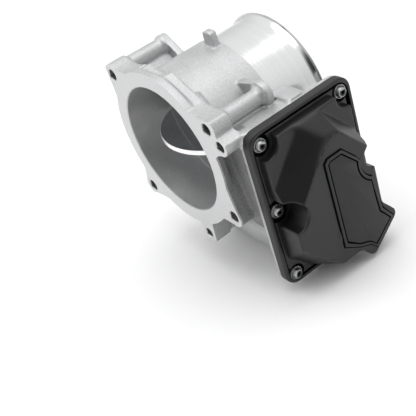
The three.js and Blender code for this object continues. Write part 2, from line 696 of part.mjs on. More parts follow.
const motorShaft = () => rodX(0, 0, 1.5, CAN_X[0] + 0.3, FAST_X[1] + 1, 12);

function motorPinion() {
  const wheel = prismX(gearShape(PINION_TEETH, MODULE_FAST), ...FAST_X);
  return wheel.subtract(rodX(0, 0, 1.8, FAST_X[0] - 1, FAST_X[1] + 1, 12));
}

// ---- Assembly -----------------------------------------------------------------------

const throttleBody = new THREE.Group();

function groupAt(y, z, turn = 0) {
  const group = new THREE.Group();
  group.position.set(0, y, z);
  group.rotation.x = deg(turn);
  throttleBody.add(group);
  return group;
}

function place(mesh, x, y, z) {
  mesh.position.set(x, y, z);
  return mesh;
}

throttleBody.add(piece('throttle_housing', housing(), CAST));
throttleBody.add(piece('gear_cover', gearCover(), BLACK_PLASTIC));
throttleBody.add(piece('cover_panel',
  prismX(panelOutline(0), PAD_X - 1 + GAP, PAD_X - 0.1, 8), BLACK_PLASTIC));

SCREW_PLACES.forEach(([y, z], i) => {
  throttleBody.add(place(piece(`cover_washer_${i + 1}`, coverWasher(), ZINC), HEAD_X, y, z));
  throttleBody.add(place(piece(`cover_screw_${i + 1}`, coverScrew(), ZINC), HEAD_X + 1 + GAP, y, z));
});

connectorPinPlaces().forEach(([y, z, x], i) => {
  throttleBody.add(piece(`connector_pin_${i + 1}`, pinBody(y, z, x, 0), BRASS));
});

const board = block(70.4, 71.9, 33, 58, -26, 6);
throttleBody.add(piece('sensor_board', board, BOARD_GREEN));

// Everything on the throttle axis. The shaft, plate, sector and magnet turn together.
const throttleAxis = groupAt(SHAFT_Y, 0);
const bearing = (x0, x1, rOut) => ringX(0, 0, SHAFT_R + GAP, rOut, x0, x1, 20);
throttleAxis.add(piece('throttle_shaft', throttleShaft(), STEEL));
throttleAxis.add(piece('throttle_plate', throttlePlate(), PLATE_METAL));
PLATE_SCREW_X.forEach((x, i) => {
  throttleAxis.add(place(piece(`plate_screw_${i + 1}`, plateScrew(), ZINC), x, 0, 0));
});
throttleAxis.add(piece('sensor_magnet', magnetCup(), BLACK_PLASTIC));
throttleAxis.add(piece('shaft_seal', bearing(42.7, 44.7, 9), RUBBER));
throttleAxis.add(piece('drive_bearing', bearing(45, 47.9, 9), STEEL));
throttleAxis.add(piece('end_bearing', bearing(-46.8, -42.8, 8), STEEL));
throttleAxis.add(piece('end_plug', rodX(0, 0, 8, -50.2, -47.9, 20), STEEL));
throttleAxis.add(piece('return_spring', ringX(0, 0, 6.4, 9.4, 48.5, 52, 20), STEEL));
const sectorGroup = groupAt(SHAFT_Y, 0, MESH_ANGLE);
sectorGroup.add(piece('sector_gear', sectorGear(), NYLON));

const idlerAxis = groupAt(...IDLER);
idlerAxis.add(piece('idler_gear', idlerGear(), NYLON));
idlerAxis.add(piece('idler_pin', rodX(0, 0, 2, CASE_FLOOR_X - 1.9, FAST_X[1] + 1.2, 14), STEEL));

const motorAxis = groupAt(SHAFT_Y, MOTOR_Z);
motorAxis.add(piece('motor_can', motorCan(), STEEL));
motorAxis.add(piece('motor_plate', motorPlate(), ZINC));
motorAxis.add(piece('motor_shaft', motorShaft(), STEEL));
motorAxis.add(piece('motor_armature', armature(), STEEL));
[0, 180].forEach((turn, i) => {
  const magnet = piece(`field_magnet_${i + 1}`, fieldMagnet(), RUBBER);
  magnet.rotation.x = deg(turn);
  motorAxis.add(magnet);
});
MOTOR_SCREWS.forEach(([y, z], i) => {
  throttleBody.add(place(piece(`motor_screw_${i + 1}`, motorScrew(), ZINC), 0, y, z));
});

const pinionGroup = groupAt(SHAFT_Y, MOTOR_Z, PINION_TURN);
pinionGroup.add(piece('motor_pinion', motorPinion(), BRASS));

export default throttleBody;
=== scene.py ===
"""Throttle body: the looks of every piece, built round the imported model.

All shapes are drawn in millimetres in the model's own frame: +Y runs along the bore to the
hose spigot, +X along the throttle shaft to the gear cover, and +Z is up.
"""

import math

import bmesh
import bpy
from bpy.props import FloatProperty, FloatVectorProperty, IntProperty, PointerProperty
from mathutils import Matrix, Vector


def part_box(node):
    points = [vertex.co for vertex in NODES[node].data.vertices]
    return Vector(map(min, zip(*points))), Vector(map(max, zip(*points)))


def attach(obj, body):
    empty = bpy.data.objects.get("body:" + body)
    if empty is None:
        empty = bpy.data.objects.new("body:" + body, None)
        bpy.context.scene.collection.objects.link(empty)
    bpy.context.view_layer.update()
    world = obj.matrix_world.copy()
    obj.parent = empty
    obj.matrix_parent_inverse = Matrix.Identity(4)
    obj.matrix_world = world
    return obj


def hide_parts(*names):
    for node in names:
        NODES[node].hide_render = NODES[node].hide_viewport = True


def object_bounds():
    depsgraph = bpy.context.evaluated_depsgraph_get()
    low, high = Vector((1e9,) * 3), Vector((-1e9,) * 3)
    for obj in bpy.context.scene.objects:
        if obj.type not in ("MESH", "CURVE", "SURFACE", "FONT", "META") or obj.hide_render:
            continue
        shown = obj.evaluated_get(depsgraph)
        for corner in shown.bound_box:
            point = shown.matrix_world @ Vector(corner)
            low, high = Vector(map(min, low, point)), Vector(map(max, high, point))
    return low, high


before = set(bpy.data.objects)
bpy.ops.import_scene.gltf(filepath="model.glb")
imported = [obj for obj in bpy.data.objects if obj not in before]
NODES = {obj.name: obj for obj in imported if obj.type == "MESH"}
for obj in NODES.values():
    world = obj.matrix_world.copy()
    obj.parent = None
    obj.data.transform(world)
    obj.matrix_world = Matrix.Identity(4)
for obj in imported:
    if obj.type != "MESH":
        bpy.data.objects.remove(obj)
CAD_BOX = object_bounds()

bl_info = {
    "name": "Throttle body",
    "version": (1, 0, 0),
    "blender": (4, 5, 0),
    "location": "3D View > Sidebar > Throttle body",
    "description": "Builds a cast throttle body with its plate, geared motor and cover",
    "category": "Object",
}

MM = 0.001


def span(node, axis):
    """Lowest and highest place of a CAD node along an axis, in millimetres."""
    low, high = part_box(node)
    return low["XYZ".index(axis)] / MM, high["XYZ".index(axis)] / MM


def middle(node, axis):
    return sum(span(node, axis)) / 2


# ---- Leading dimensions, in millimetres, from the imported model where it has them

SHAFT_Y = middle("throttle_shaft", "Y")
PLATE_R = span("throttle_plate", "X")[1]
PLATE_T = span("throttle_plate", "Z")[1] * 2
BODY_LENGTH = span("throttle_housing", "Y")[1]
FACE_X = span("throttle_housing", "X")[1]
COVER_Y0, COVER_Y1 = span("gear_cover", "Y")
COVER_X0, PAD_X = span("gear_cover", "X")
MOTOR_Z = middle("motor_can", "Z")
SCREWS = [(middle(f"cover_washer_{i}", "Y"), middle(f"cover_washer_{i}", "Z")) for i in range(1, 6)]
PLATE_SCREWS_X = [middle(f"plate_screw_{i}", "X") for i in (1, 2)]

BORE_R = 40
BORE_STEP_Y = 29
BORE_STEP = 0.45
BORE_SEGMENTS = 180
BARREL_R = 43.6
CAST_END_Y = 50.5
SPIGOT_R = 42.2
RIM_R = 44.5
FLANGE_R = 49.5
FLANGE_T = 5
EAR_T = 12
BOLT_HOLE_R = 3.5
LEFT_BOLT = (-39, 39.45)
RIGHT_BOLT = (47.6, 28.6)
LOW_LEFT_BOLT = (LEFT_BOLT[0], -LEFT_BOLT[1])
LOW_RIGHT_BOLT = (RIGHT_BOLT[0], -RIGHT_BOLT[1])
SIDE_HOLE = (56, 20.3)
FOOT_HOLE = (12.9, -54.7)
THROUGH_BOLTS = (LEFT_BOLT, LOW_LEFT_BOLT, RIGHT_BOLT)
BLIND_HOLES = ((LOW_RIGHT_BOLT, BOLT_HOLE_R, 16), (SIDE_HOLE, 3.2, 9), (FOOT_HOLE, 2.9, 14))
LUG_Y0, LUG_Y1 = 36.7, 41
SEAT_R = 6.9
CASE_FLOOR_X = 46.5
CASE_Y0, CASE_Y1 = 9.8, 76
CASE_TOP_Z = 22.7
CASE_WALL = 3
MOTOR_CASE_R = 20.5
MOTOR_X0 = -14
COVER_Z0, COVER_Z1 = -77, 24
COVER_FLOOR_X = 66
COVER_RIM_X = 68.8
COVER_WALL = 2.4
DOME_X = 85
STEP_X = 74
PANEL_DEPTH = 1.3
RECESS_R = [7.9, 7.4, 8.6, 7.6, 7.4]

# Each ear of the flange: centre (X, Z), radius, and for its two sides the angle on the ring,
# the corner of the concave fillet and the angle on the ear.
EARS = [
    (LEFT_BOLT, 6.8, (110, (-27, 41.8), 76), (203, (-42, 28.6), 154)),
    (LOW_LEFT_BOLT, 6.8, (211, (-41.6, -28.8), 166), (284, (-28.4, -41.2), 243)),
    (LOW_RIGHT_BOLT, 6.5, (-45, (38.6, -34.2), -104), (18, (48.3, -17.4), -12)),
    (SIDE_HOLE, 5.7, (12, (49.8, 13.4), -98), (78, (44, 30), 25)),
    (RIGHT_BOLT, 7.5, (24, (52, 18), -40), (104, (37.2, 32.4), 50)),
]


# ---- Shape helpers

def polar(radius, angle):
    return radius * math.cos(math.radians(angle)), radius * math.sin(math.radians(angle))


def spot(axis, along, u, v):
    """A point given by its place along an axis and its two other coordinates in X, Y, Z order."""
    x, y, z = {"X": (along, u, v), "Y": (u, along, v), "Z": (u, v, along)}[axis]
    return Vector((x, y, z))


def arc(centre, radius, start, end, steps=12):
    """Points on an arc in a plane, in degrees."""
    angles = [start + (end - start) * i / steps for i in range(steps + 1)]
    return [(centre[0] + polar(radius, a)[0], centre[1] + polar(radius, a)[1]) for a in angles]


def bend(start, corner, end, steps=10):
    """Points on a quadratic curve that leaves start towards the corner and arrives at end."""
    points = []
    for i in range(steps + 1):
        t = i / steps
        weights = (1 - t) ** 2, 2 * t * (1 - t), t * t
        points.append(tuple(
            sum(w * p[k] for w, p in zip(weights, (start, corner, end))) for k in (0, 1)))
    return points


def rounded(corners, radius, steps=6):
    """An outline with each corner replaced by a fillet curve of about the given radius."""
    outline = []
    for i, corner in enumerate(corners):
        here = Vector(corner)
        before = Vector(corners[i - 1]) - here
        after = Vector(corners[(i + 1) % len(corners)]) - here
        reach = radius / max(0.3, math.tan(before.angle(after) / 2))
        start, end = (here + side.normalized() * min(reach, side.length * 0.48)
                      for side in (before, after))
        outline += bend(start, here, end, steps)
    return outline


def box_outline(u0, u1, v0, v1, radius, steps=8):
    return (arc((u1 - radius, v0 + radius), radius, -90, 0, steps)
            + arc((u1 - radius, v1 - radius), radius, 0, 90, steps)
            + arc((u0 + radius, v1 - radius), radius, 90, 180, steps)
            + arc((u0 + radius, v0 + radius), radius, 180, 270, steps))


def loft(mesh, rings, closed=False):
    """Skins a row of point rings. The ends are capped, or the last ring meets the first."""
    made = [[mesh.verts.new(p) for p in ring] for ring in rings]
    faces = []
    pairs = list(zip(made, made[1:])) + ([(made[-1], made[0])] if closed else [])
    for low, high in pairs:
        for i in range(len(low)):
            j = (i + 1) % len(low)
            faces.append(mesh.faces.new((low[i], low[j], high[j], high[i])))
    if not closed:
        faces += [mesh.faces.new(made[0]), mesh.faces.new(made[-1])]
    bmesh.ops.recalc_face_normals(mesh, faces=faces)
    return [v for ring in made for v in ring]


def prism(mesh, outline, axis, low, high):
    return loft(mesh, [[spot(axis, a, u, v) for u, v in outline] for a in (low, high)])


def turned(mesh, profile, axis, centre=(0, 0), segments=96, closed=False):
    """Turns [radius, place along the axis] points round an axis. A closed profile makes a ring."""
    rings = [
        [spot(axis, along, centre[0] + r * math.cos(t), centre[1] + r * math.sin(t))
         for t in (2 * math.pi * i / segments for i in range(segments))]
        for r, along in profile]
    return loft(mesh, rings, closed)


def rod(mesh, axis, centre, radius, low, high, segments=48, end_radius=None):
    end = radius if end_radius is None else end_radius
    return turned(mesh, [(radius, low), (end, high)], axis, centre, segments)


def block(mesh, x, y, z):
    return prism(mesh, [(y[0], z[0]), (y[1], z[0]), (y[1], z[1]), (y[0], z[1])], "X", *x)


def tube(mesh, points, radius, sides=12):
    """A round wire along a row of points."""
    points = [Vector(p) for p in points]
    side = Vector((0, 0, 1))
    rings = []
    for i, point in enumerate(points):
        ahead = (points[min(i + 1, len(points) - 1)] - points[max(i - 1, 0)]).normalized()
        side = (side - ahead * side.dot(ahead)).normalized()
        other = ahead.cross(side)
        rings.append([point + side * radius * math.cos(t) + other * radius * math.sin(t)
                      for t in (2 * math.pi * k / sides for k in range(sides))])
    return loft(mesh, rings)


def turn(mesh, points, axis, angle):
    """Turns points about an axis of the model, in degrees."""
    turning = Matrix.Rotation(math.radians(angle), 4, axis)
    bmesh.ops.rotate(mesh, verts=points, cent=Vector(), matrix=turning)


def move(mesh, points, x, y, z):
    bmesh.ops.translate(mesh, verts=points, vec=(x, y, z))


def drawn(shape, *values, **settings):
    """A new mesh with one shape in it."""
    mesh = bmesh.new()
    shape(mesh, *values, **settings)
    return mesh


def to_object(mesh, name):
    """A new object from a bmesh drawn in millimetres."""
    bmesh.ops.scale(mesh, vec=(MM, MM, MM), verts=mesh.verts)
    data = bpy.data.meshes.new(name)
    mesh.to_mesh(data)
    mesh.free()
    made = bpy.data.objects.new(name, data)
    bpy.context.scene.collection.objects.link(made)
    return made


def settle(made):
    """Applies an object's modifiers to its mesh."""
    graph = bpy.context.evaluated_depsgraph_get()
    data = bpy.data.meshes.new_from_object(made.evaluated_get(graph))
    old = made.data
    made.modifiers.clear()
    made.data = data
    data.name = made.name
    bpy.data.meshes.remove(old)


def combined(made, tools, operation="DIFFERENCE"):
    """Cuts a mesh of tools out of an object, or joins it on, and removes the tools."""
    other = tools if isinstance(tools, bpy.types.Object) else to_object(tools, "tools")
    change = made.modifiers.new("Cut", "BOOLEAN")
    change.operation = operation
    change.solver = "MANIFOLD"
    change.object = other
    settle(made)
    bpy.data.objects.remove(other)


def shaped(name, shape, *values, **settings):
    """A new object with one shape in it."""
    return to_object(drawn(shape, *values, **settings), name)


def cut(made, shape, *values):
    combined(made, drawn(shape, *values))


def join(made, shape, *values):
    combined(made, drawn(shape, *values), "UNION")


def add_smoothing(made, rounds, group=""):
    melt = made.modifiers.new("Melt", "SMOOTH")
    melt.vertex_group = group
    melt.factor = 0.5
    melt.iterations = rounds


def melted(made, centre, radius, rounds):
    """Smooths a ball-shaped region of an object further, fading out towards its surface."""
    group = made.vertex_groups.new(name="Melt")
    for vertex in made.data.vertices:
        away = (vertex.co / MM - Vector(centre)).length / radius
        if away < 1:
            group.add([vertex.index], (1 - away * away) ** 2, "REPLACE")
    add_smoothing(made, rounds, "Melt")
    settle(made)
    made.vertex_groups.clear()


def softened(made, voxel, rounds):
    """Joins the overlapping shells of an object and rounds its edges and inner corners."""
    skin = made.modifiers.new("Skin", "REMESH")
    skin.mode = "VOXEL"
    skin.voxel_size = voxel
    add_smoothing(made, rounds)
    settle(made)


def shade(made, angle=35):
    """Smooth shading that keeps edges sharper than the angle."""
    made.data.polygons.foreach_set("use_smooth", [True] * len(made.data.polygons))
    made.data.set_sharp_from_angle(angle=math.radians(angle))


def add_bevel(made, width, sharpest):
    """A narrow bevel, in millimetres, on edges sharper than an angle."""
    edge = made.modifiers.new("Edges", "BEVEL")
    edge.width = width * MM
    edge.segments = 2
    edge.limit_method = "ANGLE"
    edge.angle_limit = math.radians(sharpest)


def bevelled(made, width):
    add_bevel(made, width, 35)
    settle(made)


def fitted(made, body, slot, material, *nodes):
    """Puts a finished piece on its body, with its material, in place of its CAD nodes."""
    made.data.materials.clear()
    for each in material if isinstance(material, list) else [material]:
        made.data.materials.append(bpy.data.materials[each])
    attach(made, body)
    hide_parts(*nodes)


def dressed(material, slot, *nodes, edge):
    """Gives CAD nodes that are shown as they are a material and a small bevel."""
    for name in nodes:
        node = NODES[name]
        node.data.materials.clear()
        node.data.materials.append(bpy.data.materials[material])
        node.data.polygons.foreach_set("material_index", [0] * len(node.data.polygons))
        add_bevel(node, edge, 50)


# ---- Material helpers

MASK_LOW, MASK_HIGH = 0.35, 0.65
# Painted shade in creases: the near-black colour mixed in there, and how much of it.
CREASE_SHADE = (0.05, 0.05, 0.05, 1)
CREASE_SHADE_SHARE = 0.4
# Pointiness is 0.5 on flat skin, more on edges and less in creases.
FULL_EDGE = 0.62
CREASE_START, FULL_CREASE = 0.49, 0.44


def add(tree, kind, inputs=None, **settings):
    """A node whose settings and inputs are given by name; an input may be another socket."""
    node = tree.nodes.new(kind)
    for key, value in settings.items():
        setattr(node, key, value)
    for key, value in (inputs or {}).items():
        if isinstance(value, bpy.types.NodeSocket):
            tree.links.new(value, node.inputs[key])
        else:
            node.inputs[key].default_value = value
    return node


def calc(tree, operation, first, second):
    return add(tree, "ShaderNodeMath", {0: first, 1: second}, operation=operation).outputs[0]


def vector_calc(tree, operation, first, second):
    """Arithmetic on vectors, of which DOT_PRODUCT gives a number."""
    node = add(tree, "ShaderNodeVectorMath", {0: first, 1: second}, operation=operation)
    return node.outputs["Value" if operation == "DOT_PRODUCT" else "Vector"]


def stretched(tree, value, start, end, low=0.0, high=1.0, **settings):
    """Maps a value from the range start to end onto the range low to high."""
    return add(tree, "ShaderNodeMapRange", {
        "Value": value, "From Min": start, "From Max": end, "To Min": low, "To Max": high},
        **settings).outputs[0]


def mixed(tree, share, first, second):
    return add(tree, "ShaderNodeMix", {0: share, 6: first, 7: second}, data_type="RGBA").outputs[2]


def noise(tree, place, scale, detail, roughness=0.5):
    return add(tree, "ShaderNodeTexNoise", {
        "Vector": place, "Scale": scale, "Detail": detail, "Roughness": roughness}).outputs["Fac"]


def object_place(tree):
    return add(tree, "ShaderNodeTexCoord").outputs["Object"]


def per_metre(tree, size):
    """How many features of a size in millimetres fit in a metre."""
    return calc(tree, "DIVIDE", 1 / MM, size)


def group_tree(name, inputs, outputs):
    """An empty shader group with float inputs (name: default) and named float outputs."""
    tree = bpy.data.node_groups.new(name, "ShaderNodeTree")
    for key, value in inputs.items():
        socket = tree.interface.new_socket(key, in_out="INPUT", socket_type="NodeSocketFloat")
        socket.default_value = value
    for key in outputs:
        tree.interface.new_socket(key, in_out="OUTPUT", socket_type="NodeSocketFloat")
    return tree, tree.nodes.new("NodeGroupInput").outputs, tree.nodes.new("NodeGroupOutput").inputs


def use(tree, group, **inputs):
    """Places a shared group in a material with its own values."""
    node = tree.nodes.new("ShaderNodeGroup")
    node.node_tree = bpy.data.node_groups[group]
    for key, value in inputs.items():
        node.inputs[key.replace("_", " ")].default_value = value
    return node.outputs


def make_grain_group():
    """Fine grains over broad, faint clouds: a mottle for colour and a height for the skin."""
    tree, given, result = group_tree(
        "Grain", {"Grain Size": 1.0, "Cloud Size": 20.0, "Clouds": 0.3}, ("Mottle", "Height"))
    place = object_place(tree)
    fine = noise(tree, place, per_metre(tree, given["Grain Size"]), 3.0, 0.62)
    broad = noise(tree, place, per_metre(tree, given["Cloud Size"]), 2.0)
    mottle = add(tree, "ShaderNodeMix", {0: given["Clouds"], 2: fine, 3: broad}).outputs[0]
    tree.links.new(mottle, result["Mottle"])
    tree.links.new(fine, result["Height"])


def make_wear_group():
    """A mask of exposed edges, broken up by noise, and a mask of the creases between surfaces,
    where shade is painted.
    """
    tree, given, result = group_tree(
        "Edge Wear", {"Start": 0.52, "Patch Size": 3.0}, ("Mask", "Crease"))
    patches = noise(tree, object_place(tree), per_metre(tree, given["Patch Size"]), 4.0)
    sharpness = add(tree, "ShaderNodeNewGeometry").outputs["Pointiness"]
    edge = stretched(tree, sharpness, given["Start"], FULL_EDGE)
    broken = stretched(tree, patches, MASK_LOW, MASK_HIGH)
    tree.links.new(calc(tree, "MULTIPLY", edge, broken), result["Mask"])
    crease = stretched(tree, sharpness, CREASE_START, FULL_CREASE)
    tree.links.new(crease, result["Crease"])


def make_marks_group():
    """Fine tool marks that repeat along one direction and wander slightly across it."""
    tree, given, result = group_tree(
        "Tool Marks",
        {"Along X": 0.0, "Along Y": 1.0, "Along Z": 0.0, "Spacing": 0.4, "Stretch": 0.02},
        ("Marks",))
    place = object_place(tree)
    along = add(tree, "ShaderNodeCombineXYZ", {
        axis: given[f"Along {axis}"] for axis in "XYZ"}).outputs[0]
    far = calc(tree, "MULTIPLY", vector_calc(tree, "DOT_PRODUCT", place, along),
               per_metre(tree, given["Spacing"]))
    wander = calc(tree, "MULTIPLY", 1 / MM, given["Stretch"])
    across = add(tree, "ShaderNodeVectorMath", {0: place, "Scale": wander}, operation="SCALE")
    step = add(tree, "ShaderNodeCombineXYZ", {"X": far}).outputs[0]
    spread = vector_calc(tree, "ADD", across.outputs["Vector"], step)
    tree.links.new(noise(tree, spread, 1.0, 2.0), result["Marks"])


def material(name, metallic=0.0, **constants):
    """A new material with a Principled shader whose constant sockets are set directly."""
    made = bpy.data.materials.new(name)
    made.use_nodes = True
    shader = made.node_tree.nodes["Principled BSDF"].inputs
    shader["Metallic"].default_value = metallic
    for key, value in constants.items():
        shader[key.replace("_", " ")].default_value = value
    return made.node_tree, shader


def scaled(colour, factor):
    return tuple(min(1.0, c * factor) for c in colour)


def vary(tree, shader, source, colour, contrast, rough):
    """Drives colour and roughness between two values by a mask. Gives the colour."""
    mask = stretched(tree, source, MASK_LOW, MASK_HIGH)
    dark, light = ((*scaled(colour, 1 + side * contrast), 1) for side in (-1, 1))
    varied = mixed(tree, mask, dark, light)
    tree.links.new(varied, shader["Base Color"])
    tree.links.new(stretched(tree, mask, 0.0, 1.0, *rough), shader["Roughness"])
    return varied


def worn(tree, shader, colour, light, amount):
    """Lightens exposed edges of a colour by a share of the wear mask, and darkens its creases with
    painted shade.
    """
    wear = use(tree, "Edge Wear")
    share = calc(tree, "MULTIPLY", wear["Mask"], amount)
    # Painted shade: creases are darkened towards a near-black colour.
    depth = calc(tree, "MULTIPLY", wear["Crease"], CREASE_SHADE_SHARE)
    bright = mixed(tree, share, colour, (*light, 1))
    tree.links.new(mixed(tree, depth, bright, CREASE_SHADE), shader["Base Color"])


def bump(tree, shader, height, strength, distance):
    """Raises the skin by a height, in millimetres."""
    node = add(tree, "ShaderNodeBump", {
        "Height": height, "Strength": strength, "Distance": distance * MM})
    tree.links.new(node.outputs[0], shader["Normal"])


def make_grained(name, colour, rough, metallic, grain, contrast, relief, wear=None, clouds=0.3,
                 **constants):
    """A skin of fine grains: castings, moulded plastic, plating and sintered pieces."""
    tree, shader = material(name, metallic, **constants)
    skin = use(tree, "Grain", Grain_Size=grain, Clouds=clouds)
    shown = vary(tree, shader, skin["Mottle"], colour, contrast, rough)
    if wear:
        worn(tree, shader, shown, *wear)
    bump(tree, shader, skin["Height"], *relief)


def make_tooled(name, colour, rough, metallic, direction, spacing, contrast, relief,
                stretch=0.02, wear=0.3):
    """Metal with the marks of turning, milling or drawing along one direction."""
    tree, shader = material(name, metallic)
    marks = use(tree, "Tool Marks", Spacing=spacing, Stretch=stretch,
                **{f"Along_{axis}": part for axis, part in zip("XYZ", direction)})["Marks"]
    shown = vary(tree, shader, marks, colour, contrast, rough)
    if wear:
        worn(tree, shader, shown, scaled(colour, 1.25), wear)
    bump(tree, shader, marks, *relief)


def make_materials(looks):
    make_grain_group()
    make_wear_group()
    make_marks_group()
    cast, steel, plastic = looks.cast_colour, looks.steel_colour, looks.plastic_colour
    # Name, colour, roughness range, metallic, grain size in mm, contrast, and the strength and
    # height in mm of the grain's relief.
    grained = (
        ("Cast aluminium", scaled(cast, 0.64), (0.46, 0.6), 0.8, 0.7, 0.2, (0.6, 0.16)),
        # Raw casting: a rougher as-cast skin, with its colour darkened as painted shade for the
        # shaded wall behind the flange.
        ("Raw casting", scaled(cast, 0.3), (0.6, 0.75), 0.4, 0.7, 0.4, (0.8, 0.2)),
        ("Turned bore", scaled(cast, 0.66), (0.34, 0.5), 0.65, 0.7, 0.16, (0.3, 0.08)),
        ("Cover plastic", tuple(plastic), (0.36, 0.46), 0.0, 0.45, 0.1, (0.25, 0.05)),
        # Groove plastic: near-black and dull, painted shade for the bottoms of grooves.
        ("Groove plastic", scaled(plastic, 0.3), (0.8, 0.9), 0.0, 0.45, 0.1, (0.25, 0.05)),
        ("Panel plastic", scaled(plastic, 1.1), (0.46, 0.56), 0.0, 0.35, 0.08, (0.3, 0.05)),
        ("Zinc plate", scaled(steel, 0.62), (0.28, 0.42), 0.95, 0.8, 0.14, (0.2, 0.05)),
        # Driver socket: dark steel, painted shade for the inside of the star sockets.
        ("Driver socket", scaled(steel, 0.12), (0.5, 0.6), 0.8, 0.8, 0.2, (0.2, 0.05)),
        ("Ground steel", scaled(steel, 0.85), (0.3, 0.38), 0.95, 0.5, 0.03, (0.05, 0.02)),
        ("Nylon", tuple(looks.nylon_colour), (0.42, 0.52), 0.0, 0.5, 0.04, (0.15, 0.04)),
        ("Board", (0.03, 0.16, 0.07), (0.3, 0.4), 0.0, 0.8, 0.1, (0.2, 0.03)),
        ("Rubber", (0.02, 0.02, 0.021), (0.7, 0.85), 0.0, 0.3, 0.2, (0.3, 0.05)),
        ("Ferrite", (0.05, 0.05, 0.055), (0.55, 0.7), 0.0, 0.6, 0.2, (0.3, 0.06)))
    # The same, with the direction and spacing in mm of the tool marks in place of the grain.
    brass = tuple(looks.brass_colour)
    tooled = (
        ("Machined face", scaled(cast, 0.76), (0.34, 0.46), 0.8, (1, 0, 0.35), 0.9, 0.03,
         (0.1, 0.03)),
        ("Polished spigot", scaled(cast, 0.86), (0.15, 0.19), 0.95, (0, 1, 0), 1.2, 0.015,
         (0.02, 0.01)),
        ("Drilled hole", scaled(cast, 0.6), (0.3, 0.42), 0.9, (0, 1, 0), 0.4, 0.05, (0.2, 0.05)),
        ("Plate face", scaled(steel, 0.75), (0.07, 0.14), 1.0, (1, 0.15, 0), 0.7, 0.03,
         (0.06, 0.02)),
        ("Plate edge", (0.9, 0.9, 0.9), (0.25, 0.35), 0.9, (0, 0, 1), 0.4, 0.04, (0.1, 0.02)),
        ("Brass", brass, (0.2, 0.32), 1.0, (1, 0, 0), 0.4, 0.06, (0.12, 0.03)))
    # Wear is the colour of worn edges and the share of it.
    extras = {
        "Cast aluminium": {"wear": ((0.85, 0.85, 0.85), 0.6)},
        "Turned bore": {"clouds": 0.5},
        "Cover plastic": {"wear": (scaled(plastic, 4), 0.5)},
        "Groove plastic": {"Specular_IOR_Level": 0.12},
        "Zinc plate": {"wear": ((0.8, 0.8, 0.8), 0.5)},
        "Nylon": {"Subsurface_Weight": 0.15, "Subsurface_Scale": 0.002},
        "Board": {"Coat_Weight": 0.4},
        "Polished spigot": {"stretch": 0.004, "wear": 0}}
    for make, rows in ((make_grained, grained), (make_tooled, tooled)):
        for row in rows:
            make(*row, **extras.get(row[0], {}))


# ---- Throttle housing

CAST, MACHINED, BORE, SPIGOT, DRILLED, RAW_SHADED = range(6)
DRILL_END_Y = 17
# The wall between the flange and the cover, which is left rough and darkened with painted shade:
# its X, Y and Z ranges.
SHADED_RAW_ZONE = ((36, 60.5), (1.2, 14), (-60, 17))


def ear_outline(centre, radius, leave, arrive):
    ring, root = FLANGE_R - 0.4, BARREL_R - 1
    out, back = (arc(centre, radius, side[2], side[2], 1)[0] for side in (leave, arrive))
    return ([polar(root, leave[0])] + bend(polar(ring, leave[0]), leave[1], out)
            + arc(centre, radius, leave[2], arrive[2], 20)
            + bend(back, arrive[1], polar(ring, arrive[0])) + [polar(root, arrive[0])])


def case_outline(inset):
    """The gear case narrows to the motor barrel, lower down on the idler's side."""
    radius = MOTOR_CASE_R - inset * 0.8
    return ([(CASE_Y0 + inset, CASE_TOP_Z - inset), (CASE_Y0 + inset, -31)]
            + arc((SHAFT_Y, MOTOR_Z), radius, 200, 350, 40)
            + [(CASE_Y1 - inset, -51), (CASE_Y1 - inset, 2 - inset * 0.6),
               (58 - inset * 0.6, CASE_TOP_Z - inset)])


def cover_outline(inset):
    return box_outline(COVER_Y0 + inset, COVER_Y1 - inset, COVER_Z0 + inset, COVER_Z1 - inset,
                       8 - inset * 0.5)


def add_bolt_tube(mesh, centre, front, rear, lug, root_half, web_start=LUG_Y0 - 3.6):
    """A long tube for a bolt, its collar, the lug plate behind it and a web to the barrel.

    It takes the tube's radius at both ends, the lug's radius and its half widths at the barrel.
    """
    at = Vector(centre)
    away = at.normalized()
    side = Vector((-away[1], away[0]))
    root = away * (BARREL_R - 2)
    web = 1.4
    rod(mesh, "Y", centre, front, 8, LUG_Y0 + 1, 56, rear)
    rod(mesh, "Y", centre, rear + 0.9, LUG_Y0 - 1.6, LUG_Y0 + 1, 56, rear + 1.6)
    rod(mesh, "Y", centre, lug, LUG_Y0, LUG_Y1 + 0.3, 56)
    prism(mesh, [at + side * lug, root + side * root_half[0], root - side * root_half[1],
                 at - side * lug], "Y", LUG_Y0, LUG_Y1 + 0.3)
    prism(mesh, [at + side * web, root + side * web, root - side * web, at - side * web],
          "Y", web_start, LUG_Y0 + 1)


def add_collar_pads(mesh):
    """Small raised pads on the collar behind the flange ring."""
    square = prism(mesh, [(-6.4, 40), (6.4, 40), (6.4, 44.4), (-6.4, 44.4)], "Y", FLANGE_T - 1, 15)
    turn(mesh, square, "Y", 42)
    foot = [(-5.2, 42), (4.2, 42), (3.4, 44.7), (-4.4, 44.3)]
    tip = [(1, 42), (2.8, 42), (2.2, 43.9), (1.4, 43.8)]
    for angle in (1, 19):
        wedge = loft(mesh, [[spot("Y", y, *p) for p in ring] for ring, y in ((foot, 6), (tip, 14))])
        turn(mesh, wedge, "Y", angle)


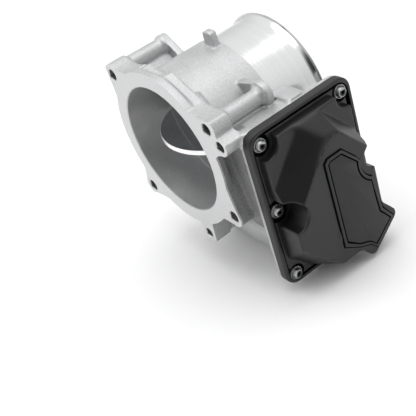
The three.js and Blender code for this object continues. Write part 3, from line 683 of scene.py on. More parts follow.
def casting_shells():
    """The overlapping solids that the casting is made from, before its edges are softened."""
    mesh = bmesh.new()
    collar = [(BARREL_R + 5.9 * (1 - math.sin(math.radians(a))),
               FLANGE_T + 6 * (1 - math.cos(math.radians(a)))) for a in (8, 20, 32, 45, 58, 72, 90)]
    turned(mesh, [(BORE_R - 2, -2), (FLANGE_R, -2), (FLANGE_R, FLANGE_T - 0.6), *collar,
                  (BARREL_R, CAST_END_Y + 1.5), (BORE_R - 2, CAST_END_Y + 1.5)],
           "Y", segments=BORE_SEGMENTS, closed=True)
    for ear in EARS:
        prism(mesh, ear_outline(*ear), "Y", -2, EAR_T)

    # The foot below the ring, the three bolt tubes, and the gear case.
    prism(mesh, [(6, -42), (7.8, -52), (8.1, -57.8), (9.6, -59.6), (18.4, -59.6), (19.7, -46.9),
                 (20, -42)], "Y", -2, 11)
    prism(mesh, [(8.2, -42), (8.2, -57.6), (18.4, -57.6), (19.4, -42)], "Y", 10, 24)
    for centre in (LEFT_BOLT, LOW_LEFT_BOLT):
        add_bolt_tube(mesh, centre, 5.4, 5.1, 6.3, (9, 9), 8)
    add_bolt_tube(mesh, RIGHT_BOLT, 5.2, 4.8, 7.6, (12.4, 6))
    prism(mesh, rounded(case_outline(0), 2.5), "X", CASE_FLOOR_X - CASE_WALL, FACE_X)
    block(mesh, (30, CASE_FLOOR_X), (CASE_Y0, 43), (-30, CASE_TOP_Z))
    prism(mesh, cover_outline(0.5), "X", FACE_X - 3.4, FACE_X + 1.5)

    # The motor barrel, the shaft's boss, the block in the case's corner, the tab on top of the
    # barrel and the top of the case.
    rod(mesh, "X", (SHAFT_Y, MOTOR_Z), MOTOR_CASE_R, MOTOR_X0 - 3, CASE_FLOOR_X, 96)
    rod(mesh, "X", (SHAFT_Y, 0), 9.6, -50.4, -39, 64)
    rod(mesh, "X", (SHAFT_Y, 0), 12.1, -47, -38, 64)
    prism(mesh, box_outline(43, 56, 12, 25.3, 3.5), "X", 50, 62)
    prism(mesh, [(-4.7, 42), (4.7, 42), (3.8, 51.3), (2.4, 52.5), (-2.4, 52.5), (-3.8, 51.3)],
          "Y", 44.3, 49.1)
    block(mesh, (42, 62.5), (10.5, 56), (17, CASE_TOP_Z + 0.8))
    add_collar_pads(mesh)
    return mesh


def spigot_shell():
    """The machined spigot and its flared hose rim, which end the bore."""
    flare_y, lip = 78.4, 0.9
    flare = [(SPIGOT_R + 1.15 * (1 - math.cos(math.radians(a))), flare_y + 4.2 * a / 90)
             for a in (30, 60, 90)]
    return drawn(turned, [
        (BORE_R - 2, CAST_END_Y - 1), (SPIGOT_R, CAST_END_Y - 1), (SPIGOT_R, flare_y), *flare,
        (RIM_R, 83), *arc((RIM_R - lip, BODY_LENGTH - lip), lip, 0, 90, 4),
        (BORE_R - 2, BODY_LENGTH)], "Y", segments=BORE_SEGMENTS, closed=True)


def outer_cuts():
    """Machining of the outside: the flange face, the cover face, and the end of the barrel."""
    mesh = bmesh.new()
    block(mesh, (-80, 90), (-9, 0), (-100, 80))
    block(mesh, (FACE_X, 80), (-20, 100), (-100, 60))
    inner, outer, end = SPIGOT_R - 0.6, BARREL_R + 0.15, 60
    turned(mesh, [(inner, CAST_END_Y), (outer, CAST_END_Y), (outer, end), (inner, end)],
           "Y", segments=BORE_SEGMENTS, closed=True)
    return mesh


def hole_cuts():
    """The drilled holes of the flange and lugs, each with a broken edge."""
    mesh = bmesh.new()

    def drill(centre, radius, *bottom):
        turned(mesh, [(radius + 1.1, -0.8), (radius + 0.3, 0), (radius, 0.5), *bottom],
               "Y", centre, 48)

    for centre in THROUGH_BOLTS:
        drill(centre, BOLT_HOLE_R, (BOLT_HOLE_R, LUG_Y1 - 0.5), (BOLT_HOLE_R + 0.5, LUG_Y1),
              (BOLT_HOLE_R + 1.5, LUG_Y1 + 1))
    for centre, radius, depth in BLIND_HOLES:
        drill(centre, radius, (radius, depth - 1.5), (0.3, depth))
    return mesh


def lug_cuts():
    """Flat seats for bolt heads behind the lugs."""
    mesh = bmesh.new()
    for centre in THROUGH_BOLTS:
        rod(mesh, "Y", centre, SEAT_R, LUG_Y1, LUG_Y1 + 3, 56)
    return mesh


def bore_cuts():
    """The bore, a little wider past the step behind the plate, with both ends broken."""
    wide = BORE_R + 0.3
    return drawn(turned, [
        (BORE_R + 1.5, -1), (BORE_R + 0.5, 0), (BORE_R, 0.5), (BORE_R, BORE_STEP_Y),
        (wide, BORE_STEP_Y + BORE_STEP), (wide, BODY_LENGTH - 0.8), (BORE_R + 1.1, BODY_LENGTH),
        (BORE_R + 2.1, BODY_LENGTH + 1)], "Y", segments=BORE_SEGMENTS)


def chamber_cuts():
    return drawn(prism, case_outline(CASE_WALL), "X", CASE_FLOOR_X, FACE_X + 1)


def pocket_cuts():
    """The motor's pocket, and the stepped hole for the throttle shaft and its bearings."""
    mesh = bmesh.new()
    plug_r, bush_r, seat_r = 8.3, 5.35, 9.3
    rod(mesh, "X", (SHAFT_Y, MOTOR_Z), 17.9, MOTOR_X0, CASE_FLOOR_X + 1, 80)
    turned(mesh, [(plug_r, -51), (plug_r, -42.5), (bush_r, -42.5), (bush_r, 42.4), (seat_r, 42.4),
                  (seat_r, 49.5)], "X", (SHAFT_Y, 0), 48)
    return mesh


def chamber_shells():
    """Solid metal inside the gear chamber: the bearing seat and the idler's post."""
    mesh = bmesh.new()
    root = CASE_FLOOR_X - 0.6
    rod(mesh, "X", (SHAFT_Y, 0), 12, root, CASE_FLOOR_X + 1.6, 64)
    rod(mesh, "X", (middle("idler_pin", "Y"), middle("idler_pin", "Z")), 5, root, 51.6)
    return mesh


def housing_face(centre, normal):
    """Which finish a face of the housing has."""
    x, y, z = centre / MM
    radius = math.hypot(x, z)
    outward = (normal.x * x + normal.z * z) / max(radius, 1e-6)
    if radius < BORE_R + 0.5 and BORE_STEP_Y < y < BORE_STEP_Y + BORE_STEP:
        return MACHINED
    if radius < BORE_R + 1.4 and outward < -0.3 and abs(normal.x * x) + abs(normal.z * z) > 1:
        return BORE
    if (y < 0.05 and normal.y < -0.9) or (x > FACE_X - 0.05 and normal.x > 0.9):
        return MACHINED
    if y > CAST_END_Y - 0.1 and radius < RIM_R + 0.2 and x < 43.4:
        return SPIGOT
    for cx, cz in THROUGH_BOLTS:
        away = math.hypot(x - cx, z - cz)
        if away < BOLT_HOLE_R + 0.6 and abs(normal.y) < 0.8:
            return DRILLED
        if away < SEAT_R + 0.05 and y > LUG_Y1 - 0.06 and normal.y > 0.9:
            return MACHINED
    for (cx, cz), hole, _ in BLIND_HOLES:
        if math.hypot(x - cx, z - cz) < hole + 0.6 and y < DRILL_END_Y:
            return DRILLED
    # Side walls in this zone get the rough, darker casting: painted shade.
    in_zone = all(low < at < high for at, (low, high) in zip((x, y, z), SHADED_RAW_ZONE))
    if in_zone and abs(normal.z) < 0.85:
        return RAW_SHADED
    return CAST


def build_housing(sizes):
    made = to_object(casting_shells(), "housing_casting")
    softened(made, sizes.casting_voxel, sizes.casting_rounds)
    combined(made, outer_cuts())
    combined(made, spigot_shell(), "UNION")
    combined(made, chamber_cuts())
    combined(made, chamber_shells(), "UNION")
    for cuts in (bore_cuts, lug_cuts, hole_cuts, pocket_cuts):
        combined(made, cuts())
    shade(made, 28)
    fitted(made, "housing", "cast_aluminium",
           ["Cast aluminium", "Machined face", "Turned bore", "Polished spigot", "Drilled hole",
            "Raw casting"], "throttle_housing")
    for face in made.data.polygons:
        face.material_index = housing_face(face.center, face.normal)


# ---- Gear cover

SHROUD_ANGLE = -52
SHROUD_ROOT = (56.8, -54.5)
SHROUD_HALF = 14.6
SHROUD_LENGTH = 22.2
SHROUD_X0 = 70
PIN_ROWS = (74.4, 80.8)
PIN_STEPS = (-6, 0, 6)
SHELF = 1.7
GROOVE_DEPTH = 0.6
SCREW_SEAT_R = 4.45
SCREW_HOLE_R = 2.4
# The blunt corner where the dome's slants meet: its place, reach and extra softening.
BLUNT_AT, BLUNT_REACH, BLUNT_ROUNDS = (80, 41, 10), 20, 14


def add_shroud(mesh, x0, x1, start, end, half, radius):
    points = prism(mesh, box_outline(start, end, -half, half, radius), "X", x0, x1)
    turn(mesh, points, "X", SHROUD_ANGLE)
    move(mesh, points, 0, *SHROUD_ROOT)


def dome_outline(inset, right_inset=0.0):
    left, right = 13 + inset, 74.4 - inset - right_inset
    top, bottom = 18.6 - inset, -71.6 + inset
    return [(left, bottom + 9), (left + 6.6, bottom), (right - 6.4, bottom), (right, bottom + 7),
            (right, top - 6), (right - 6, top), (left + 7, top), (left, top - 7)]


def add_slant(mesh, foot, heading, x0, x1, run):
    """A block that takes off all above a plane rising from x0 to x1 along a heading."""
    size = 140
    points = block(mesh, (0, size), (-size / 2, size / 2), (-size / 2, size / 2))
    turn(mesh, points, "Z", -math.degrees(math.atan2(x1 - x0, run)))
    turn(mesh, points, "X", heading)
    move(mesh, points, x0, *foot)


def panel_outline(grow):
    """The label panel: square at the upper left, cut away round a screw and the shroud."""
    g = grow
    return ([(42.8 - g, -58.6 - g), (42.4 - g, -6.4 + g * 0.5), (43.8 - g * 0.5, -5.6 + g),
             (51.4 + g * 0.4, -5.6 + g), (60.2 + g * 0.3, -15.6 + g)]
            + arc((75.4, -19.6), 15.4 - g, 166, 239, 10)
            + [(67.8 + g, -44), (68.6 + g, -54.8 + g * 0.4), (75 + g, -63.4), (61.8, -73 - g),
               (57.8, -68.4 - g), (50.4, -65.2 - g)])


def dome_object(inset, name):
    """The raised dome, cut back by its slants. The inset gives the inner skin."""
    top, step, root = DOME_X - inset, STEP_X - inset, COVER_FLOOR_X - 1
    made = shaped(name, prism, dome_outline(inset, 1.6), "X", root, top)
    for foot, heading, x0, run in (((25.8, 6.1), -40.3, step, 13.7), ((45, 18.6), -90, step, 10.5),
                                   ((65, 4.2), -139.5, step, 6.2)):
        cut(made, add_slant, foot, heading, x0, top, run)
    join(made, prism, dome_outline(inset), "X", root, step)
    cut(made, add_slant, (19.4, -62.6), 44, step - 3, top, 7)
    return made


def screw_rods(radii, low, high, segments):
    """A rod on the axis of each cover screw, to cut with."""
    mesh = bmesh.new()
    for centre, radius in zip(SCREWS, radii):
        rod(mesh, "X", centre, radius, low, high, segments)
    return mesh


def recess_rods(grow, low):
    return screw_rods([radius + grow for radius in RECESS_R], low, DOME_X + 4, 64)


def hollow_object():
    """The space inside the cover, with posts left round the screws and the socket's root."""
    made = dome_object(COVER_WALL, "hollow")
    join(made, prism, dome_outline(COVER_WALL), "X", COVER_X0 - 2, COVER_FLOOR_X)
    combined(made, recess_rods(COVER_WALL, COVER_X0 - 3))
    cut(made, add_shroud, SHROUD_X0, DOME_X, -1, SHROUD_LENGTH, SHROUD_HALF, 2.5)
    return made


def add_rim(mesh):
    """The cover's plate with its raised, rounded rim."""
    top = COVER_RIM_X
    profile = [(0, COVER_X0), (0, top - 1.1), (0.12, top - 0.6), (0.4, top - 0.22), (0.9, top),
               (1.9, top), (2.15, top - 0.1), (2.25, top - 0.4), (2.3, COVER_FLOOR_X)]
    loft(mesh, [[spot("X", x, *p) for p in cover_outline(inset)] for inset, x in profile])


def add_shelf(mesh):
    """A low shelf round the foot of the dome."""
    profile = [(-SHELF, COVER_FLOOR_X - 1), (-SHELF, COVER_RIM_X - 0.5),
               (0.2 - SHELF, COVER_RIM_X - 0.2), (0.5 - SHELF, COVER_RIM_X - 0.1)]
    loft(mesh, [[spot("X", x, *p) for p in rounded(dome_outline(inset), 3)]
                for inset, x in profile])


def cover_face(centre, normal):
    """Which finish a face of the cover has: 0 open skin, 1 the bottom of a groove, given
    near-black, dull plastic as painted shade.
    """
    x, y, z = centre / MM
    inside = COVER_Y0 + 2 < y < COVER_Y1 - 2 and COVER_Z0 + 2 < z < COVER_Z1 - 2
    plate = inside and COVER_FLOOR_X - 0.1 < x < COVER_FLOOR_X + 1.3
    wall = DOME_X - 0.75 < x < PAD_X - 0.3 and abs(normal.x) < 0.2
    bottom = abs(x - DOME_X + GROOVE_DEPTH) < 0.02 or abs(x - PAD_X + PANEL_DEPTH) < 0.02
    return int(plate or wall or bottom)


def build_cover(sizes):
    made = dome_object(0, "cover_moulding")
    join(made, add_shroud, SHROUD_X0, DOME_X + 0.6, -14, SHROUD_LENGTH, SHROUD_HALF, 4)
    combined(made, recess_rods(0, COVER_FLOOR_X - 3))
    softened(made, sizes.cover_voxel, sizes.cover_rounds)
    melted(made, BLUNT_AT, BLUNT_REACH, BLUNT_ROUNDS * sizes.cover_rounds)
    join(made, add_rim)
    shelf = shaped("shelf", add_shelf)
    combined(shelf, recess_rods(-SHELF, COVER_FLOOR_X - 3))
    combined(made, shelf, "UNION")

    # The groove round the raised platform, and the platform itself.
    cut(made, prism, panel_outline(3.3), "X", DOME_X - GROOVE_DEPTH, PAD_X + 1)
    platform = shaped("platform", prism, rounded(panel_outline(2.55), 0.8, 3), "X", DOME_X - 2,
                      PAD_X)
    bevelled(platform, 0.25)
    combined(made, platform, "UNION")

    # Seats and holes for the screws, the inside, the socket and the panel's recess.
    combined(made, screw_rods([SCREW_SEAT_R] * 5, COVER_FLOOR_X, DOME_X, 48))
    combined(made, screw_rods([SCREW_HOLE_R] * 5, COVER_X0 - 2, COVER_FLOOR_X + 1, 32))
    combined(made, hollow_object())
    cut(made, add_shroud, SHROUD_X0 + 2.2, DOME_X - 2, 7, SHROUD_LENGTH + 4, SHROUD_HALF - 2.2, 1.8)
    cut(made, prism, panel_outline(0.9), "X", PAD_X - PANEL_DEPTH, PAD_X + 1)
    shade(made, 30)
    fitted(made, "housing", "cover_plastic", ["Cover plastic", "Groove plastic"], "gear_cover")
    for face in made.data.polygons:
        face.material_index = cover_face(face.center, face.normal)

    panel = shaped("label_panel", prism, rounded(panel_outline(0), 0.5, 3), "X",
                   PAD_X - PANEL_DEPTH, PAD_X - 0.1)
    bevelled(panel, 0.2)
    shade(panel, 30)
    fitted(panel, "housing", "cover_plastic", "Panel plastic", "cover_panel")


def build_pins():
    """Six flat contact blades with pointed tips, standing in the socket."""
    y, z = polar(1, SHROUD_ANGLE + 90)
    corners = ((-1, -1), (1, -1), (1, 1), (-1, 1))
    # Place along the blade, half width and half thickness.
    rings = [(-5, 0.9, 0.5), (13.6, 0.9, 0.5), (14.6, 0.55, 0.3), (15, 0.3, 0.16)]
    places = [(row, across) for row in PIN_ROWS for across in PIN_STEPS]
    for number, (row, across) in enumerate(places, 1):
        mesh = bmesh.new()
        points = loft(mesh, [[Vector((thick * i, along, wide * j)) for i, j in corners]
                             for along, wide, thick in rings])
        turn(mesh, points, "X", SHROUD_ANGLE)
        move(mesh, points, row, SHROUD_ROOT[0] + y * across, SHROUD_ROOT[1] + z * across)
        blade = to_object(mesh, f"contact_blade_{number}")
        bevelled(blade, 0.12)
        shade(blade, 40)
        fitted(blade, "housing", "connector_brass", "Brass", f"connector_pin_{number}")


# ---- Cover screws

SCREW_HEAD = 3.4
SOCKET_R = 1.66


def star_outline(radius=1.5, steps=8):
    """A six-lobed driver socket."""
    angles = [360 * i / (6 * steps) for i in range(6 * steps)]
    return [polar(radius * (0.86 + 0.14 * math.cos(math.radians(6 * a))), a) for a in angles]


def screw_blank(seat):
    """A pan-headed screw with a star socket, drawn on the X axis with its seat at a place."""
    profile = [(1.3, -9.2), (1.7, -8.6), (1.7, 0), (3.0, 0), (3.05, 0.2), (3.05, 0.9),
               (2.85, 1.25), (2.8, 2.8), (2.6, 3.2), (2.2, SCREW_HEAD)]
    blank = shaped("screw_blank", turned, [(r, seat + x) for r, x in profile], "X", segments=64)
    cut(blank, prism, star_outline(), "X", seat + 1.0, seat + 5)
    return blank


def washer_blank(low, seat):
    """A plated cup washer with a rounded lip, drawn on the X axis."""
    rim = seat + 1.3
    inner, floor = 2.5, seat - 0.1
    return shaped("washer_blank", turned, [
        (inner, low), (3.95, low), (4.0, low + 0.2), (4.0, rim - 0.3), (3.9, rim - 0.05),
        (3.75, rim), (3.6, rim - 0.05), (3.5, rim - 0.3), (3.5, floor), (inner, floor)],
        "X", segments=64, closed=True)


def build_cover_screws():
    """Star-socket screws, each in a plated cup washer."""
    seat = span("cover_screw_1", "X")[1] - SCREW_HEAD
    blank = screw_blank(seat)
    ring = washer_blank(span("cover_washer_1", "X")[0], seat)
    for source in (blank, ring):
        shade(source)
    for i, (y, z) in enumerate(SCREWS, 1):
        for source, kind, spin in ((blank, "screw", 23 * i), (ring, "washer", 0)):
            name = f"{kind}_{i}"
            piece = bpy.data.objects.new(name, source.data.copy())
            piece.data.name = name
            piece.data.transform(Matrix.Rotation(math.radians(spin), 4, "X"))
            piece.data.transform(Matrix.Translation(Vector((0, y, z)) * MM))
            bpy.context.scene.collection.objects.link(piece)
            fitted(piece, "housing", "zinc_plated_steel", ["Zinc plate", "Driver socket"],
                   f"cover_{name}")
            for face in piece.data.polygons:
                # Faces inside the star socket get the dark socket material: painted shade.
                off = math.hypot(face.center.y / MM - y, face.center.z / MM - z)
                in_socket = off < SOCKET_R and face.center.x / MM > seat + 0.5
                face.material_index = int(in_socket)
    for source in (blank, ring):
        bpy.data.objects.remove(source)


# ---- Throttle shaft and plate

PLATE_HOLE_R = 1.8


def plate_screw_holes(reach):
    """The holes for the plate's screws, to cut with."""
    mesh = bmesh.new()
    for x in PLATE_SCREWS_X:
        rod(mesh, "Z", (x, SHAFT_Y), PLATE_HOLE_R, -reach, reach, 32)
    return mesh


def build_plate():
    """The disc, with a bright turned edge, and the two screws that hold it in the shaft."""
    half, edge = PLATE_T / 2, 0.35
    made = shaped("plate_disc", turned, [
        (PLATE_R - edge, -half), (PLATE_R, edge - half), (PLATE_R, half - edge),
        (PLATE_R - edge, half)], "Z", (0, SHAFT_Y), 200)
    combined(made, plate_screw_holes(5))
    shade(made, 30)
    fitted(made, "throttle", "plate_metal", ["Plate face", "Plate edge"], "throttle_plate")
    for face in made.data.polygons:
        face.material_index = int(abs(face.normal.z) <= 0.95)
    for i, x in enumerate(PLATE_SCREWS_X, 1):
        low, high = span(f"plate_screw_{i}", "Z")
        screw = shaped(f"plate_fixing_{i}", turned, [
            (1.1, low), (1.4, low + 0.3), (1.4, high - 1.4), (3, high - 1.4), (3, high - 0.7),
            (2.7, high - 0.25), (2.2, high)], "Z", (x, SHAFT_Y), 48)
        mesh = bmesh.new()
        move(mesh, prism(mesh, star_outline(), "Z", high - 0.9, high + 1), x, SHAFT_Y, 0)
        combined(screw, mesh)
        shade(screw)
        fitted(screw, "throttle", "zinc_plated_steel", "Zinc plate", f"plate_screw_{i}")


def build_shaft():
    """The slotted throttle shaft with its bearings, seal, end plug and magnet cup."""
    low, high = span("throttle_shaft", "X")
    radius = span("throttle_shaft", "Z")[1]
    made = shaped("shaft_bar", turned, [
        (radius - 0.5, low), (radius, low + 0.5), (radius, high - 0.6), (radius - 0.6, high)],
        "X", (SHAFT_Y, 0))
    slot, gap = PLATE_R + 0.3, PLATE_T / 2 + 0.3
    cut(made, block, (-slot, slot), (SHAFT_Y - 8, SHAFT_Y + 8), (-gap, gap))
    mesh = bmesh.new()
    for x in PLATE_SCREWS_X:
        block(mesh, (x - 4, x + 4), (SHAFT_Y - 7, SHAFT_Y + 7), (4, 7))
    combined(made, mesh)
    combined(made, plate_screw_holes(7))
    shade(made)
    fitted(made, "throttle", "shaft_steel", "Ground steel", "throttle_shaft")

    low, high = span("end_plug", "X")
    plug = shaped("plug_cup", turned, [
        (7.6, high), (8, high - 0.4), (8, low + 0.9), (7.4, low), (6.2, low), (5.6, low + 0.8),
        (0.5, low + 0.8)], "X", (SHAFT_Y, 0), 64)
    shade(plug)
    fitted(plug, "housing", "bearing_steel", "Zinc plate", "end_plug")
    dressed("Ground steel", "bearing_steel", "drive_bearing", "end_bearing", edge=0.2)
    dressed("Rubber", "seal_rubber", "shaft_seal", edge=0.2)
    dressed("Cover plastic", "cover_plastic", "sensor_magnet", edge=0.3)


# ---- Drive

def build_gears():
    """The nylon sector and idler, the brass pinion and the idler's pin."""
    dressed("Nylon", "gear_nylon", "sector_gear", "idler_gear", edge=0.12)
    dressed("Brass", "connector_brass", "motor_pinion", edge=0.06)
    dressed("Ground steel", "bearing_steel", "idler_pin", edge=0.2)


def build_spring():
    """A torsion spring of round wire in the space round the shaft's boss."""
    low, high = span("return_spring", "X")
    radius = span("return_spring", "Z")[1]
    wire, turns, steps = 0.55, 2.4, 150
    points = []
    for i in range(steps + 1):
        t = i / steps
        y, z = polar(radius - wire, 90 + 360 * turns * t)
        points.append((low + wire + (high - low - 2 * wire) * t, SHAFT_Y + y, z))
    made = shaped("spring_coil", tube, points, wire)
    shade(made, 50)
    fitted(made, "housing", "bearing_steel", "Ground steel", "return_spring")


def build_motor():
    """The motor: its can, end plate and screws, field magnets, and the rotor."""
    dressed("Zinc plate", "zinc_plated_steel", "motor_plate", "motor_screw_1", "motor_screw_2",
            edge=0.2)
    dressed("Zinc plate", "bearing_steel", "motor_can", edge=0.3)
    dressed("Ferrite", "field_magnet", "field_magnet_1", "field_magnet_2", edge=0.3)
    dressed("Ground steel", "bearing_steel", "motor_armature", edge=0.2)
    dressed("Ground steel", "shaft_steel", "motor_shaft", edge=0.2)


def build_sensor():
    dressed("Board", "circuit_board", "sensor_board", edge=0.15)


# ---- Stage

# The camera's place in millimetres and its axes. FOCAL_LENGTH is in the units of FRAME_SIDE.
CAMERA_AT = (428.9, -207.5, 270.8)
CAMERA_RIGHT = (0.5885, 0.7625, -0.2689)
CAMERA_DOWN = (0.3202, -0.5252, -0.7884)
CAMERA_BACK = (0.7424, -0.3779, 0.5533)
FRAME_SIDE = 416
FOCAL_LENGTH = 962.9
# The dark side of the studio: its direction, and the angles from it where the dimming starts
# and where it is full.
DARK_SIDE = (0.8, -0.5, 0.26)
DARK_SIDE_ANGLES = (46, 24)


def add_light(name, place, target, size, power):
    data = bpy.data.lights.new(name, "AREA")
    data.shape = "DISK"
    data.size = size
    data.energy = power
    light = bpy.data.objects.new(name, data)
    light.location = place
    light.rotation_euler = (Vector(target) - light.location).to_track_quat("-Z", "Y").to_euler()
    bpy.context.scene.collection.objects.link(light)


def build_floor(looks):
    low, half = CAD_BOX[0].z / MM - 0.2, 3000
    floor = shaped("floor", block, (-half, half), (-half, half), (low - 20, low))
    tree, shader = material("Studio floor")
    soft = use(tree, "Grain", Grain_Size=40.0, Cloud_Size=400.0, Clouds=0.5)
    contrast = 0.005
    vary(tree, shader, soft["Mottle"], scaled(looks.floor_colour, 1 - contrast), contrast,
         (0.75, 0.85))
    floor.data.materials.append(bpy.data.materials["Studio floor"])


def build_world(looks):
    """A white studio that dims a little towards the floor, with one dark side."""
    world = bpy.data.worlds.new("Studio")
    bpy.context.scene.world = world
    world.use_nodes = True
    tree = world.node_tree
    background = tree.nodes["Background"].inputs
    background["Color"].default_value = (1, 1, 1, 1)
    direction = add(tree, "ShaderNodeTexCoord").outputs["Generated"]
    height = add(tree, "ShaderNodeSeparateXYZ", {0: direction}).outputs["Z"]
    walls = stretched(tree, height, 0.0, 0.8, looks.wall_light, looks.ceiling_light,
                      interpolation_type="SMOOTHSTEP")
    facing = vector_calc(tree, "DOT_PRODUCT", direction, Vector(DARK_SIDE).normalized())
    edges = (math.cos(math.radians(angle)) for angle in DARK_SIDE_ANGLES)
    dark = stretched(tree, facing, *edges, 1.0, 0.0, interpolation_type="SMOOTHSTEP")
    tree.links.new(calc(tree, "MULTIPLY", walls, dark), background["Strength"])


def build_camera():
    data = bpy.data.cameras.new("camera")
    camera = bpy.data.objects.new("camera", data)
    data.lens = FOCAL_LENGTH / FRAME_SIDE * data.sensor_width
    data.clip_start = 0.01
    axes = Matrix((CAMERA_RIGHT, [-c for c in CAMERA_DOWN], CAMERA_BACK)).transposed()
    camera.matrix_world = Matrix.Translation(Vector(CAMERA_AT) * MM) @ axes.to_4x4()
    bpy.context.scene.collection.objects.link(camera)
    bpy.context.scene.camera = camera


def build_stage(looks):
    build_floor(looks)
    build_world(looks)
    build_camera()
    add_light("overhead", (0.1, 0.1, 1.1), (0.02, 0.04, 0), 1.0, looks.overhead_power)
    add_light("side", (-0.7, -0.5, 0.8), (0, 0.04, 0), 0.6, looks.side_power)
    bpy.context.scene.view_settings.view_transform = "Standard"


# ---- Add-on

class ThrottleSizes(bpy.types.PropertyGroup):
    """Sizes that set how fine and how soft the moulded and cast skins are."""

    casting_voxel: FloatProperty(
        name="Casting detail", description="Smallest detail of the cast housing", unit="LENGTH",
        default=0.00072, min=0.0003, max=0.003, precision=5)
    casting_rounds: IntProperty(
        name="Casting softness", description="How far cast edges and corners are rounded",
        default=4, min=0, max=40)
    cover_voxel: FloatProperty(
        name="Cover detail", description="Smallest detail of the moulded cover", unit="LENGTH",
        default=0.0004, min=0.0002, max=0.002, precision=5)
    cover_rounds: IntProperty(
        name="Cover softness", description="How far moulded edges are rounded",
        default=28, min=0, max=40)


def colour_property(name, description, default):
    return FloatVectorProperty(name=name, description=description, subtype="COLOR", size=3,
                               min=0, max=1, default=default)


class ThrottleLooks(bpy.types.PropertyGroup):
    """Colours of the materials and strengths of the studio's lights."""

    cast_colour: colour_property("Casting", "Colour of the cast aluminium", (0.80, 0.805, 0.81))
    plastic_colour: colour_property(
        "Cover", "Colour of the cover's plastic", (0.0048, 0.0049, 0.0051))
    steel_colour: colour_property("Steel", "Colour of plated and ground steel", (0.62, 0.63, 0.64))
    nylon_colour: colour_property("Nylon", "Colour of the moulded gears", (0.78, 0.75, 0.66))
    brass_colour: colour_property(
        "Brass", "Colour of the contacts and the pinion", (0.72, 0.58, 0.28))
    floor_colour: colour_property("Floor", "Colour of the studio floor", (0.93, 0.93, 0.93))
    wall_light: FloatProperty(
        name="Wall light", description="Brightness of the studio's walls",
        default=0.8, min=0, max=5)
    ceiling_light: FloatProperty(
        name="Ceiling light", description="Brightness overhead", default=1.1, min=0, max=5)
    overhead_power: FloatProperty(
        name="Overhead lamp", description="Power of the lamp above", unit="POWER",
        default=5, min=0, max=500)
    side_power: FloatProperty(
        name="Side lamp", description="Power of the lamp beside the flange", unit="POWER",
        default=1, min=0, max=500)


class THROTTLE_OT_materials(bpy.types.Operator):
    """Make every material and the shader groups that they share"""

    bl_idname = "throttle.materials"
    bl_label = "Materials"

    def execute(self, context):
        make_materials(context.scene.throttle_looks)
        return {"FINISHED"}


class THROTTLE_OT_housing(bpy.types.Operator):
    """Make the cast and machined housing"""

    bl_idname = "throttle.housing"
    bl_label = "Housing"

    def execute(self, context):
        build_housing(context.scene.throttle_sizes)
        return {"FINISHED"}


class THROTTLE_OT_cover(bpy.types.Operator):
    """Make the gear cover and its blank label panel"""

    bl_idname = "throttle.cover"
    bl_label = "Gear cover"

    def execute(self, context):
        build_cover(context.scene.throttle_sizes)
        return {"FINISHED"}


class THROTTLE_OT_pins(bpy.types.Operator):
    """Make the contact blades of the socket"""

    bl_idname = "throttle.pins"
    bl_label = "Contact blades"

    def execute(self, context):
        build_pins()
        return {"FINISHED"}


class THROTTLE_OT_screws(bpy.types.Operator):
    """Make the cover screws and their washers"""

    bl_idname = "throttle.screws"
    bl_label = "Cover screws"

    def execute(self, context):
        build_cover_screws()
        return {"FINISHED"}


class THROTTLE_OT_plate(bpy.types.Operator):
    """Make the throttle plate and its two screws"""

    bl_idname = "throttle.plate"
    bl_label = "Throttle plate"

    def execute(self, context):
        build_plate()
        return {"FINISHED"}


class THROTTLE_OT_shaft(bpy.types.Operator):
    """Make the throttle shaft and what sits on it"""

    bl_idname = "throttle.shaft"
    bl_label = "Throttle shaft"

    def execute(self, context):
        build_shaft()
        return {"FINISHED"}


class THROTTLE_OT_spring(bpy.types.Operator):
    """Make the return spring"""

    bl_idname = "throttle.spring"
    bl_label = "Return spring"

    def execute(self, context):
        build_spring()
        return {"FINISHED"}


class THROTTLE_OT_gears(bpy.types.Operator):
    """Finish the gears and the idler's pin"""

    bl_idname = "throttle.gears"
    bl_label = "Gears"

    def execute(self, context):
        build_gears()
        return {"FINISHED"}


class THROTTLE_OT_motor(bpy.types.Operator):
    """Finish the motor's pieces"""

    bl_idname = "throttle.motor"
    bl_label = "Motor"

    def execute(self, context):
        build_motor()
        return {"FINISHED"}


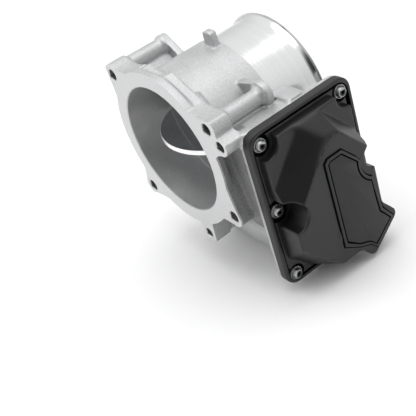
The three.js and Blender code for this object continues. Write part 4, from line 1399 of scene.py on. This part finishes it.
class THROTTLE_OT_sensor(bpy.types.Operator):
    """Finish the position sensor's board"""

    bl_idname = "throttle.sensor"
    bl_label = "Position sensor"

    def execute(self, context):
        build_sensor()
        return {"FINISHED"}


class THROTTLE_OT_stage(bpy.types.Operator):
    """Make the floor, the lights and the camera"""

    bl_idname = "throttle.stage"
    bl_label = "Stage"

    def execute(self, context):
        build_stage(context.scene.throttle_looks)
        return {"FINISHED"}


OPERATORS = (
    THROTTLE_OT_materials, THROTTLE_OT_housing, THROTTLE_OT_cover, THROTTLE_OT_pins,
    THROTTLE_OT_screws, THROTTLE_OT_plate, THROTTLE_OT_shaft, THROTTLE_OT_spring,
    THROTTLE_OT_gears, THROTTLE_OT_motor, THROTTLE_OT_sensor, THROTTLE_OT_stage,
)


class THROTTLE_PT_panel(bpy.types.Panel):
    """Lists the throttle body's pieces, sizes and colours"""

    bl_label = "Throttle body"
    bl_idname = "THROTTLE_PT_panel"
    bl_space_type = "VIEW_3D"
    bl_region_type = "UI"
    bl_category = "Throttle body"

    def draw(self, context):
        for group in (context.scene.throttle_sizes, context.scene.throttle_looks):
            for key in group.__annotations__:
                self.layout.prop(group, key)
        for each in OPERATORS:
            self.layout.operator(each.bl_idname)


CLASSES = (ThrottleSizes, ThrottleLooks, *OPERATORS, THROTTLE_PT_panel)


def register():
    for each in CLASSES:
        bpy.utils.register_class(each)
    bpy.types.Scene.throttle_sizes = PointerProperty(type=ThrottleSizes)
    bpy.types.Scene.throttle_looks = PointerProperty(type=ThrottleLooks)


def unregister():
    del bpy.types.Scene.throttle_looks
    del bpy.types.Scene.throttle_sizes
    for each in reversed(CLASSES):
        bpy.utils.unregister_class(each)


def main():
    register()
    bpy.ops.throttle.materials()
    bpy.ops.throttle.housing()
    bpy.ops.throttle.cover()
    bpy.ops.throttle.pins()
    bpy.ops.throttle.screws()
    bpy.ops.throttle.plate()
    bpy.ops.throttle.shaft()
    bpy.ops.throttle.spring()
    bpy.ops.throttle.gears()
    bpy.ops.throttle.motor()
    bpy.ops.throttle.sensor()
    bpy.ops.throttle.stage()


if __name__ == "__main__":
    main()
